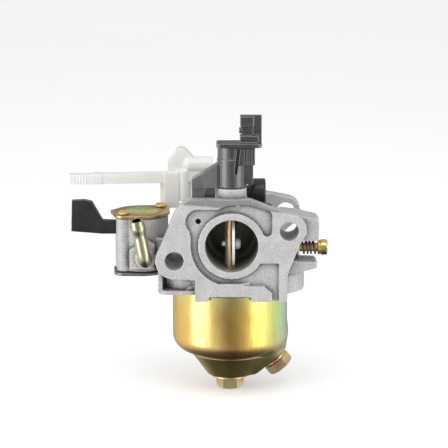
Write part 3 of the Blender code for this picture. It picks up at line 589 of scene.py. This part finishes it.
def finish_plating(shading, film, streak_size, gloss=0.23):
    """The drawing marks, dull spots and painted shade in the hollows that all the plated pieces share."""
    streaks = shading.noise(streak_size, 3.0, stretch=(1, 1, 0.10))
    dull = shading.noise(0.35, 3.0)
    tone = shading.mix(shading.spread(streaks, 0.42, 0.72, 0.0, 0.24), film, (0.26, 0.18, 0.07))
    tone = shading.mix(shading.spread(dull, 0.60, 0.72, 0.0, 0.30), tone, (0.20, 0.15, 0.07))
    # Painted shade: a dark brown where the piece closes in on itself.
    plating_hollow_shade = shading.spread(shading.openness(1.5), 0.35, 0.8)
    shading.colour(shading.mix(plating_hollow_shade, (0.16, 0.10, 0.045), tone))
    shading.roughness(shading.spread(streaks, 0.3, 0.7, gloss, gloss + 0.12))
    shading.bump(shading.math("ADD", streaks, dull), 0.004)
    return shading.material


def turned_metal(name, colour, dark, roughness, stretch, metallic=1.0):
    """Machined metal with fine tool lines, random darker stains and a darker tone in its hollows."""
    shading = Shading(name, roughness, metallic)
    lines = shading.noise(0.3, 3.0, stretch=stretch)
    # Random darker stains on the metal.
    stain_and_painted_shade = shading.noise(2.2, 3.0)
    tone = shading.mix(shading.spread(stain_and_painted_shade, 0.35, 0.75, 0.0, 0.6), colour, dark)
    # Darker tone in the hollows.
    tone = shading.mix(shading.edges(0.40, 0.50), dark, tone)
    shading.colour(tone)
    shading.roughness(shading.spread(lines, 0.3, 0.7, roughness - 0.06, roughness + 0.1))
    shading.bump(lines, 0.008)
    return shading.material


def shaft_brass_painted_highlights():
    """The throttle shaft: drawn brass with streaks of pink, gold and bright metal along it; the pink and
    bright streaks are painted highlights.
    """
    shading = Shading("brass_painted_highlights_in_bore", 0.24, 0.85)
    streaks = shading.noise(0.9, 3.0, stretch=(1, 1, 0.06))
    # Painted highlights: the pale pink and near-white streaks stand in for glints of light along the shaft.
    tone = shading.ramp(streaks, [
        (0.36, (0.42, 0.22, 0.10)),
        (0.46, (0.90, 0.62, 0.28)),
        (0.54, (0.96, 0.70, 0.58)),
        (0.64, (1.00, 0.92, 0.84)),
    ])
    wear = shading.spread(shading.noise(1.6, 3.0), 0.35, 0.7, 0.0, 0.6)
    shading.colour(shading.mix(wear, tone, (0.72, 0.46, 0.24)))
    shading.roughness(shading.spread(streaks, 0.3, 0.7, 0.16, 0.34))
    shading.bump(streaks, 0.02)
    return shading.material


def moulded_plastic(name, colour, rubbed, roughness, translucent=0.0, specular=0.5):
    """Satin moulding with faint flow marks and edges rubbed a little lighter."""
    shading = Shading(name, roughness, 0.0, specular)
    flow = shading.noise(4.0, 3.0, distortion=0.6)
    grain = shading.noise(0.3, 2.0)
    tone = shading.mix(shading.spread(flow, 0.3, 0.75, 0.0, 0.5), colour, rubbed)
    tone = shading.mix(shading.math("MULTIPLY", shading.edges(0.51, 0.58), 0.5), tone, rubbed)
    shading.colour(tone)
    shading.roughness(shading.spread(flow, 0.3, 0.7, roughness - 0.05, roughness + 0.08))
    shading.bump(grain, 0.01)
    if translucent:
        shading.shader.inputs["Subsurface Weight"].default_value = translucent
        shading.shader.inputs["Subsurface Radius"].default_value = (1.0, 0.95, 0.85)
        shading.shader.inputs["Subsurface Scale"].default_value = 1.5 * MM
    return shading.material


def black_plastic_lit_arm():
    """The throttle lever's glossy black moulding, painted lighter grey on the arm beside its hub where light
    falls on it.
    """
    shading = Shading("black_plastic_painted_light", 0.22, 0.0, 1.0)
    shading.shader.inputs["IOR"].default_value = 1.7
    x = shading.split()["X"]
    flow = shading.noise(4.0, 3.0, distortion=0.6)
    tone = shading.ramp(flow, [(0.3, (0.010, 0.010, 0.010)), (0.75, (0.034, 0.034, 0.035))])
    # Painted light: the arm left of the hub is grey to stand in for the light falling on it.
    painted_lit_grey = shading.ramp(flow, [(0.3, (0.085, 0.085, 0.084)), (0.75, (0.13, 0.13, 0.128))])
    tone = shading.mix(shading.spread(x, -4.9 * MM, -5.5 * MM), tone, painted_lit_grey)
    rubbed = shading.math("MULTIPLY", shading.edges(0.51, 0.58), 0.6)
    shading.colour(shading.mix(rubbed, tone, (0.16, 0.16, 0.16)))
    shading.roughness(shading.spread(flow, 0.3, 0.7, 0.16, 0.30))
    shading.bump(shading.noise(0.3, 2.0), 0.01)
    return shading.material


def rubber():
    """Dull black rubber with a fine grain."""
    shading = Shading("black_rubber", 0.75, 0.0, 0.3)
    grain = shading.noise(0.5, 3.0)
    shading.colour(shading.ramp(grain, [(0.3, (0.012, 0.012, 0.012)), (0.7, (0.035, 0.034, 0.033))]))
    shading.bump(grain, 0.02)
    return shading.material


# Each look is made once, and pieces of one slot may have their own variant of it; some variants are lighter
# or darker copies that paint light or shade
BOWL_ZINC = bowl_zinc()
COVER_ZINC = cover_zinc()
TUBE_ZINC = zinc_film("yellow_zinc_tube", [
    (0.40, 0.42, 0.26),
    (0.54, 0.52, 0.34),
    (0.62, 0.56, 0.42),
    (0.42, 0.48, 0.32),
], 0.11)
ALONG_X = (6, 1, 1)
ALONG_Y = (1, 6, 1)
ALONG_Z = (1, 1, 6)
WIRE_STEEL = turned_metal("grey_steel_wire", (0.15, 0.145, 0.14), (0.07, 0.065, 0.06), 0.34, ALONG_Y)
# Painted light: a lighter, less metallic copy of steel for the throttle disc and its screw, brightened
# because little light reaches them inside the bore.
BORE_STEEL_PAINTED_LIGHT = turned_metal("steel_painted_light_in_bore", (0.90, 0.90, 0.88), (0.66, 0.64, 0.61), 0.36, ALONG_X, 0.3)
# Painted shade: a darker, duller copy of steel for the choke disc deep in the passage.
THROAT_STEEL_PAINTED_SHADE = turned_metal("steel_painted_shade_in_throat", (0.42, 0.41, 0.38), (0.30, 0.29, 0.27), 0.5, ALONG_Y, 0.2)
SHAFT_BRASS_PAINTED_HIGHLIGHTS = shaft_brass_painted_highlights()
BLACK_PLASTIC_LIT_ARM = black_plastic_lit_arm()
PLAIN_ZINC = zinc_film("yellow_zinc", [
    (0.60, 0.32, 0.25),
    (0.70, 0.42, 0.26),
    (0.72, 0.60, 0.28),
    (0.60, 0.62, 0.36),
])
MATERIALS = {
    "cast_aluminium": cast_aluminium(),
    "yellow_zinc": PLAIN_ZINC,
    "brass": turned_metal("brass", (0.83, 0.62, 0.28), (0.52, 0.34, 0.12), 0.24, ALONG_Z),
    "steel": turned_metal("steel", (0.66, 0.66, 0.65), (0.38, 0.37, 0.36), 0.28, ALONG_X),
    "grey_steel": turned_metal("grey_steel", (0.30, 0.285, 0.27), (0.20, 0.185, 0.17), 0.42, ALONG_Y),
    "black_plastic": moulded_plastic("black_plastic", (0.008, 0.008, 0.009), (0.034, 0.034, 0.035), 0.30,
                                     specular=0.6),
    "white_plastic": moulded_plastic("white_plastic", (0.81, 0.805, 0.79), (0.85, 0.845, 0.83), 0.36, 0.25),
    "float_plastic": moulded_plastic("float_plastic", (0.17, 0.12, 0.06), (0.26, 0.20, 0.12), 0.5),
    "black_rubber": rubber(),
}


def place_piece(piece, node, angle=35, material=None):
    """Let a piece replace its CAD node: it rides on the same body and takes its own material or its slot's.
    """
    piece.data.materials.clear()
    piece.data.materials.append(material or MATERIALS[SLOT_OF[node]])
    piece.data.shade_smooth()
    piece.data.set_sharp_from_angle(angle=math.radians(angle))
    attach(piece, BODY_OF[node])
    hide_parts(node)


def place_refined(node, voxel, smoothing, walls, material=None):
    """Let a CAD node's own refined copy replace it."""
    place_piece(refined(node, voxel, smoothing, walls), node, 60, material)


# ---------------------------------------------------------------- cast body

def make_casting():
    """The body, with its hidden gasket groove filled: the groove's thin lip is finer than the grid."""
    passage = (11.9, 9.4, 9.8, 12.4, 14.4, 7.6)
    walls = [((0, 0, 0), Y_AXIS, radius) for radius in passage]
    walls += [(side, Y_AXIS, 3.35) for side in (STUD, -STUD)]
    walls += [(VALVE, Z_AXIS, radius) for radius in (9.6, 7.6)]
    walls += [
        ((INLET_X, 0, INLET_Z), Y_AXIS, 3.6),
        ((0, THROTTLE_Y, 0), Z_AXIS, 5.4),
        ((0, CHOKE_Y, 0), Z_AXIS, 5.0),
        ((0, MIX.y, MIX.z), X_AXIS, 4.0),
        (JET, Z_AXIS, 3.9),
        ((15.0, 15.6, 0), Z_AXIS, 11.2),
    ]
    inner_r = 19.0
    seat = box_mm("bowl_gasket")[0].z + 0.03
    roof = seat + 1.6
    ring = [(inner_r, seat), (BOWL_R, seat), (BOWL_R, roof), (inner_r, roof)]
    hidden_groove = lathe("hidden_groove", ring, BOWL_AXIS, sides=96, radius=0.05)
    piece = refined("carburetor_body", 0.34, 3, walls, 185_000, hidden_groove)
    place_piece(piece, "carburetor_body", 60)


# ---------------------------------------------------------------- float bowl and its fasteners

def bowl_outline():
    """The pressed cup's outer line, from its rim down to the sump's floor."""
    wall_depth = 18.0
    wall_steps = 24
    shoulder_r = 6.0
    shoulder_turn = math.radians(78)
    shoulder_steps = 16
    outline = [(BOWL_R, BOWL_TOP - wall_depth * i / wall_steps) for i in range(wall_steps + 1)]
    centre_r = BOWL_R - shoulder_r
    centre_z = outline[-1][1]
    for i in range(1, shoulder_steps + 1):
        angle = -shoulder_turn * i / shoulder_steps
        outline.append((centre_r + shoulder_r * math.cos(angle), centre_z + shoulder_r * math.sin(angle)))
    step = bezier_2d([outline[-1], (15.0, -43.0), (14.75, -43.05), (14.7, -43.7)], 10)
    sump = bezier_2d([(14.6, -43.9), (13.2, -45.2), (9.6, -50.6), (8.4, SUMP_Z)], 18)
    return outline + step + sump + [(BOLT_HOLE_R, SUMP_Z)]


def bezier_2d(corners, steps):
    """Points of a Bezier curve given as (radius, height)."""
    return [tuple(point) for point in bezier(corners, steps)]


def push_out_for_drain(point, inset):
    """Press the cup out to a flat, sloping seat for the drain screw's washer."""
    offset = point - DRAIN_FACE
    along = offset.dot(DRAIN_AXIS)
    uphill = offset.dot(DRAIN_SLOPE)
    stretch = 1.15 if uphill > 0 else 2.6
    reach = math.hypot(offset.y, uphill / stretch)
    seat_r = 5.1 - inset
    foot_r = 9.5
    fade_width = 2.0
    depth = 5.0
    blend = 1.2
    deepest = -12      # points further in than this stay
    clear = 3          # the push starts this far beside the bowl's axis and is whole 6 mm later
    if along < deepest or reach > foot_r + fade_width:
        return point
    wanted = -inset - depth * max(reach - seat_r, 0) / (foot_r - seat_r)
    rise = wanted - along
    lifted = (rise + math.sqrt(rise * rise + blend * blend)) / 2
    fade = min(max((foot_r + fade_width - reach) / fade_width, 0.0), 1.0)
    fade *= min(max((point.x - BOWL_AXIS.x - clear) / 6, 0.0), 1.0)
    moved = point + DRAIN_AXIS * max(lifted - blend * blend / 12, 0) * fade
    moved.z = max(moved.z, SUMP_Z + inset)
    return moved


def bowl_skin(builder, inset, sides=192):
    """Rings of one skin of the cup, from its floor up to its rim."""
    rings = []
    for radius, height in reversed(inset_outline(bowl_outline(), inset)):
        ring = []
        for i in range(sides):
            angle = math.tau * i / sides
            spot = BOWL_AXIS + Vector((radius * math.cos(angle), radius * math.sin(angle), height))
            ring.append(builder.verts.new(push_out_for_drain(spot, inset)))
        rings.append(ring)
    for low, high in zip(rings, rings[1:]):
        join_rings(builder, low, high)
    return rings


def inset_outline(outline, inset):
    """An outline moved inward by a distance, square to itself. Its rim keeps its height."""
    moved = []
    for i, (radius, height) in enumerate(outline):
        before = Vector(outline[max(i - 1, 0)])
        after = Vector(outline[min(i + 1, len(outline) - 1)])
        along = (after - before).normalized()
        moved.append((radius + along.y * inset, height - along.x * inset))
    moved[0] = (outline[0][0] - inset, outline[0][1])
    moved[-1] = (outline[-1][0], outline[-1][1] + inset)
    return moved


def make_bowl():
    """The thin cup: an outer and an inner skin, joined at the rim and round the bolt's hole."""
    wall = 0.9
    builder = bmesh.new()
    outer = bowl_skin(builder, 0.0)
    inner = bowl_skin(builder, wall)
    join_rings(builder, outer[-1], inner[-1])
    join_rings(builder, outer[0], inner[0])
    place_piece(new_piece("float_bowl_detail", builder), "float_bowl", 50, BOWL_ZINC)


def hex_head(name, height, at, direction, spin, shank_r, shank_length):
    """A hex head with its outer corners chamfered, on a round shank behind it."""
    sides = 72
    flat = HEX_FLATS / 2
    flat_width = math.pi / 3
    chamfer_r = flat * 0.98
    chamfer_slope = math.tan(math.radians(30))
    builder = bmesh.new()
    levels = [[], [], [], []]
    for i in range(sides):
        angle = math.tau * i / sides
        off_flat = angle % flat_width - flat_width / 2
        rim = flat / math.cos(off_flat)
        drop = max(rim - chamfer_r, 0.0) * chamfer_slope
        outward = Vector((math.cos(angle + spin), math.sin(angle + spin), 0))
        rows = [(rim - 0.08, 0.0), (rim, 0.1), (rim, height - drop - 0.05), (chamfer_r * 0.93, height)]
        for level, (distance, rise) in zip(levels, rows):
            level.append(builder.verts.new(outward * distance + Z_AXIS * rise))
    for low, high in zip(levels, levels[1:]):
        join_rings(builder, low, high)
    builder.faces.new(levels[-1])
    top = circle(builder, shank_r, 0.0, sides)
    end = circle(builder, shank_r, -shank_length, sides)
    join_rings(builder, levels[0], top)
    join_rings(builder, top, end)
    builder.faces.new(end)
    aim(builder, at, direction)
    return new_piece(name, builder)


def washer(node, inner_r, outer_r, low, high, at, direction, rounding):
    """A flat ring that replaces its CAD node."""
    ring = [(inner_r, low), (outer_r, low), (outer_r, high), (inner_r, high)]
    place_piece(lathe(node + "_detail", ring, at, direction, radius=rounding), node)


def make_bowl_fasteners():
    """The bolt below the cup and the drain screw on its slope, each on its washer."""
    bolt_low, bolt_high = box_mm("bowl_bolt")
    washer_low, washer_high = box_mm("bowl_bolt_washer")
    head_top = washer_low.z - 0.3
    under_head = (BOWL_AXIS.x, BOWL_AXIS.y, head_top)
    bolt = hex_head("bowl_bolt_detail", head_top - bolt_low.z, under_head, -Z_AXIS,
                    math.radians(30), 2.9, bolt_high.z - head_top)
    place_piece(bolt, "bowl_bolt", 25)
    washer("bowl_bolt_washer", 3.4, 6.7, washer_low.z, washer_high.z, BOWL_AXIS, Z_AXIS, 0.25)
    drain_foot = DRAIN_FACE + DRAIN_AXIS * 1.35
    drain = hex_head("drain_screw_detail", 3.45, drain_foot, DRAIN_AXIS, 0.0, 2.85, 6.85)
    place_piece(drain, "drain_screw", 25)
    washer("drain_screw_washer", 3.2, 4.9, 0.25, 1.05, DRAIN_FACE, DRAIN_AXIS, 0.2)


# ---------------------------------------------------------------- throttle, choke and levers

def make_throttle():
    """The shaft, its disc and screw, and the tall lever on its round hub."""
    axis = (0, THROTTLE_Y, 0)
    place_refined("throttle_shaft", 0.12, 2, [(axis, Z_AXIS, 2.45)], SHAFT_BRASS_PAINTED_HIGHLIGHTS)
    place_refined("throttle_plate", 0.14, 2, [(axis, X_AXIS, 9.1)], BORE_STEEL_PAINTED_LIGHT)
    pan = [(0, -3.4), (0.9, -3.4), (0.9, 1.45, 0), (1.95, 1.45), (1.95, 2.6, 0.4), (1.4, 3.3, 0.3), (0, 3.3)]
    place = (0, THROTTLE_Y, middle("throttle_plate_screw").z)
    screw = lathe("throttle_plate_screw_detail", pan, place, X_AXIS, 48)
    place_piece(screw, "throttle_plate_screw", material=BORE_STEEL_PAINTED_LIGHT)
    hub = [(axis, Z_AXIS, 5.2), (axis, Z_AXIS, 5.0)]
    place_refined("throttle_lever", 0.18, 2, hub, BLACK_PLASTIC_LIT_ARM)


def make_choke():
    """The shaft, its disc and two screws, and the lever with its post and stub."""
    axis = (0, CHOKE_Y, 0)
    post = (-17.2, CHOKE_Y, 0)
    stub = (-6.8, CHOKE_Y, 23.7)
    place_refined("choke_shaft", 0.12, 2, [(axis, Z_AXIS, 2.0)])
    disc_r = 9.76
    disc = [(0, -0.45), (disc_r, -0.45), (disc_r, 0.45), (0, 0.45)]
    place_piece(lathe("choke_plate_detail", disc, axis, Y_AXIS, 128, 0.12), "choke_plate", 60, THROAT_STEEL_PAINTED_SHADE)
    walls = [(axis, Z_AXIS, 5.0), (post, Z_AXIS, 2.4), (stub, X_AXIS, 2.9)]
    place_refined("choke_lever", 0.2, 3, walls)
    pan = [(0, -2.4), (0.8, -2.4), (0.8, 1.35, 0), (1.7, 1.35), (1.7, 2.2, 0.35), (1.2, 2.6, 0.3), (0, 2.6)]
    for node in ("choke_plate_screw_lower", "choke_plate_screw_upper"):
        place = (0, CHOKE_Y, middle(node).z)
        place_piece(lathe(node + "_detail", pan, place, Y_AXIS, 48), node)


# ---------------------------------------------------------------- fuel valve

def make_valve():
    """The fuel valve's lever, cover, base and two screws."""
    place_refined("fuel_valve_lever", 0.18, 3, [(VALVE, Z_AXIS, 7.1)])
    place_refined("fuel_valve_cover", 0.12, 4, [(VALVE, Z_AXIS, 10.2)], COVER_ZINC)
    place_refined("fuel_valve_base", 0.16, 2, [(VALVE, Z_AXIS, 10.2)])
    for node in ("fuel_valve_screw_front", "fuel_valve_screw_rear"):
        place_refined(node, 0.07, 2, [(upright_axis(node), Z_AXIS, 2.2)])


def make_nipple():
    """The bent inlet tube, open at its barbed end."""
    foot = Vector((INLET_X, 5.7, INLET_Z))
    bend = bezier([foot, (INLET_X, 1.9, -7.0), (-30.9, 2.6, -4.4), (-32.2, 3.3, 2.0), (-33.5, 1.3, 9.1)], 60)
    shank = [Vector((INLET_X, 10.5 - 0.4 * i, INLET_Z)) for i in range(12)]
    shank_r = 1.7
    tube_r = 2.38
    bore_r = 1.6
    end_chamfer = 0.3
    radii = [shank_r] * len(shank)
    for i in range(len(bend)):
        share = i / (len(bend) - 1)
        barb = math.exp(-((share - 0.90) / 0.060) ** 2) * 0.34
        neck = math.exp(-((share - 0.77) / 0.05) ** 2) * 0.14
        radii.append(tube_r + barb - neck)
    radii[-1] -= end_chamfer
    nipple = tube_along("fuel_inlet_nipple_detail", shank + bend, radii, 40, bore_r)
    place_piece(nipple, "fuel_inlet_nipple", 40, TUBE_ZINC)


# ---------------------------------------------------------------- screws, springs and jet

def make_spring(node, radius, centre, turns):
    """A wire spring along +X that fills its CAD node's length."""
    steps = turns * 28
    low, high = box_mm(node)
    end_gap = 0.35
    start = Vector((low.x + end_gap, centre.y, centre.z))
    stop = Vector((high.x - end_gap, centre.y, centre.z))
    points = []
    for i in range(steps + 1):
        share = i / steps
        eased = share + math.sin(math.tau * share) * 0.03
        angle = math.tau * turns * share
        points.append(start.lerp(stop, eased) + Vector((0, math.cos(angle), math.sin(angle))) * radius)
    spring = tube_along(node + "_detail", points, [WIRE_R] * len(points), 12)
    place_piece(spring, node, 180, WIRE_STEEL)


def make_mixture_screw():
    """The idle mixture screw: a cone, a long stem and a slotted head behind a thin collar."""
    low, high = box_mm("idle_mixture_screw")
    outline = [
        (0, 0), (0.4, 0), (1.55, 4.0), (1.55, 19.8, 0), (2.7, 20.0, 0.15), (2.7, 20.5, 0.1),
        (2.45, 20.6, 0.1), (2.45, 20.9, 0.1), (2.78, 21.0, 0.15), (2.78, 23.0, 0.25),
        (2.4, 23.4, 0.15), (0, 23.4),
    ]
    screw = lathe("idle_mixture_screw_detail", outline, (low.x, MIX.y, MIX.z), X_AXIS, 72)
    cut_slot(screw, (high.x - 0.9, high.x + 1), (MIX.y - 4, MIX.y + 4), (MIX.z - 0.45, MIX.z + 0.45))
    place_piece(screw, "idle_mixture_screw", 30)
    make_spring("idle_mixture_spring", 2.3, MIX, 4)


def cut_slot(piece, x, y, z):
    """Cut a straight screwdriver slot."""
    builder = bmesh.new()
    bmesh.ops.create_cube(builder, size=1.0)
    for vertex in builder.verts:
        for i, limits in enumerate((x, y, z)):
            vertex.co[i] = limits[0] if vertex.co[i] < 0 else limits[1]
    tool = new_piece("slot_tool", builder)
    slot = piece.modifiers.new("slot", "BOOLEAN")
    slot.operation = "DIFFERENCE"
    slot.object = tool
    settle(piece)
    bpy.data.objects.remove(tool)


def make_stop_screw():
    """The throttle stop screw: a chamfered stem and a large hollow-backed head with a slot."""
    outline = [
        (0, 0.3), (0.7, 0.3), (1.5, 1.2), (1.5, 8.6, 0), (2.9, 8.6, 0), (2.9, 6.0, 0.2),
        (3.8, 6.0, 0.5), (4.9, 7.4, 0.8), (4.9, 11.9, 0.35), (4.5, 12.3, 0.3), (0, 12.3),
    ]
    screw = lathe("throttle_stop_screw_detail", outline, (0, STOP.y, STOP.z), X_AXIS, 72)
    cut_slot(screw, (11.4, 14.0), (STOP.y - 0.6, STOP.y + 0.6), (STOP.z - 6, STOP.z + 6))
    place_piece(screw, "throttle_stop_screw", 30)
    make_spring("throttle_stop_spring", 2.2, STOP, 2)


def make_pilot_jet():
    """The jet's stem and its round head."""
    outline = [
        (0, -0.9), (1.1, -0.9), (2.2, 2.0), (2.2, 7.3, 0), (3.4, 7.3, 0.2), (3.4, 9.0, 0.3),
        (2.8, 9.6, 0.3), (0, 9.6),
    ]
    place_piece(lathe("pilot_jet_detail", outline, JET), "pilot_jet")


# ---------------------------------------------------------------- pieces that keep their CAD shape

def dress_remaining_nodes():
    """Give every CAD node that still shows its slot's material, in place of its plain one."""
    for node, shown in frame["nodes"].items():
        if shown.hide_render:
            continue
        shown.data.materials.clear()
        shown.data.materials.append(MATERIALS[SLOT_OF[node]])


# ---------------------------------------------------------------- stage, lights and camera

FLOOR_R = 6000
FLOOR_GAP = 0.2


def make_floor():
    """A pale floor that glows a little, so that it stays even. Metal mirrors the room, not the floor."""
    builder = bmesh.new()
    bmesh.ops.create_circle(builder, cap_ends=True, segments=96, radius=FLOOR_R)
    floor = new_piece("floor", builder)
    floor.location.z = cad_box[0].z - FLOOR_GAP * MM
    floor.visible_glossy = False
    shading = Shading("pale_floor", 0.7, 0.0, 0.2)
    soft = shading.noise(400.0, 2.0)
    shading.colour(shading.ramp(soft, [(0.3, (0.84, 0.84, 0.84)), (0.7, (0.87, 0.87, 0.87))]))
    shading.shader.inputs["Emission Color"].default_value = (1, 1, 1, 1)
    shading.shader.inputs["Emission Strength"].default_value = 0.34
    floor.data.materials.append(shading.material)


def add_light(name, azimuth, elevation, distance, size, power):
    """A soft box that faces the object: angles in degrees, distance and size in metres."""
    data = bpy.data.lights.new(name, "AREA")
    data.shape = "RECTANGLE"
    data.size, data.size_y = size
    data.energy = power
    light = bpy.data.objects.new(name, data)
    bpy.context.scene.collection.objects.link(light)
    turn = math.radians(azimuth)      # 0 towards the camera, 90 towards +X
    lift = math.radians(elevation)
    away = Vector((math.sin(turn) * math.cos(lift), -math.cos(turn) * math.cos(lift), math.sin(lift)))
    light.location = away * distance
    light.rotation_mode = "QUATERNION"
    light.rotation_quaternion = (-away).to_track_quat("-Z", "Y")


def make_lights():
    """Two upright boxes beside the object, one above it, and the room around."""
    add_light("left_box", -62, 4, 0.62, (0.42, 0.80), 1.6)
    add_light("right_box", 60, 4, 0.62, (0.36, 0.80), 1.0)
    add_light("top_box", -10, 60, 0.80, (0.6, 0.5), 2.0)
    bpy.context.scene.world = studio_world()
    bpy.context.scene.view_settings.view_transform = "Standard"


def studio_world():
    """A pale room, dark on the camera's side, behind and below, so that round metal shows dark bands."""
    world = bpy.data.worlds.new("studio")
    world.use_nodes = True
    room = Tree(world.node_tree)
    split = room.node("ShaderNodeSeparateXYZ")
    room.feed(split.inputs[0], room.node("ShaderNodeTexCoord").outputs["Generated"])
    x, y, z = split.outputs
    turn = room.math("ARCTAN2", x, room.math("MULTIPLY", y, -1.0))
    round_level = room.levels(turn, -math.pi, math.pi, [
        (0.00, 0.28), (0.08, 0.50), (0.18, 0.85), (0.34, 1.0), (0.42, 0.78), (0.50, 0.27),
        (0.56, 0.50), (0.63, 0.95), (0.74, 0.90), (0.86, 0.72), (0.93, 0.40), (1.00, 0.28)])
    overhead = room.levels(z, -1, 1, [(0.70, 0.0), (0.85, 1.0)])
    height_level = room.levels(z, -1, 1, [
        (0.06, 0.10), (0.12, 0.25), (0.18, 0.62), (0.24, 0.90), (0.40, 0.95), (0.65, 0.90), (0.85, 0.55)])
    background = room.nodes["Background"]
    level = room.math("MULTIPLY", height_level, room.math("MAXIMUM", round_level, overhead))
    room.feed(background.inputs["Color"], level)
    background.inputs["Strength"].default_value = 1.2
    return world


def make_camera():
    """A long lens, a little above the bore's centre line."""
    pitch = math.radians(12)
    distance = 0.6
    target = Vector((-2.7, 0, 8.18)) * MM
    toward = Vector((0, math.cos(pitch), -math.sin(pitch)))
    data = bpy.data.cameras.new("camera")
    data.lens = 137.36
    data.sensor_width = 36
    camera = bpy.data.objects.new("camera", data)
    bpy.context.scene.collection.objects.link(camera)
    camera.location = target - toward * distance
    camera.rotation_mode = "QUATERNION"
    camera.rotation_quaternion = toward.to_track_quat("-Z", "Y")
    bpy.context.scene.camera = camera


make_camera()
make_casting()
make_bowl()
make_bowl_fasteners()
make_throttle()
make_choke()
make_valve()
make_nipple()
make_mixture_screw()
make_stop_screw()
make_pilot_jet()
dress_remaining_nodes()
make_floor()
make_lights()
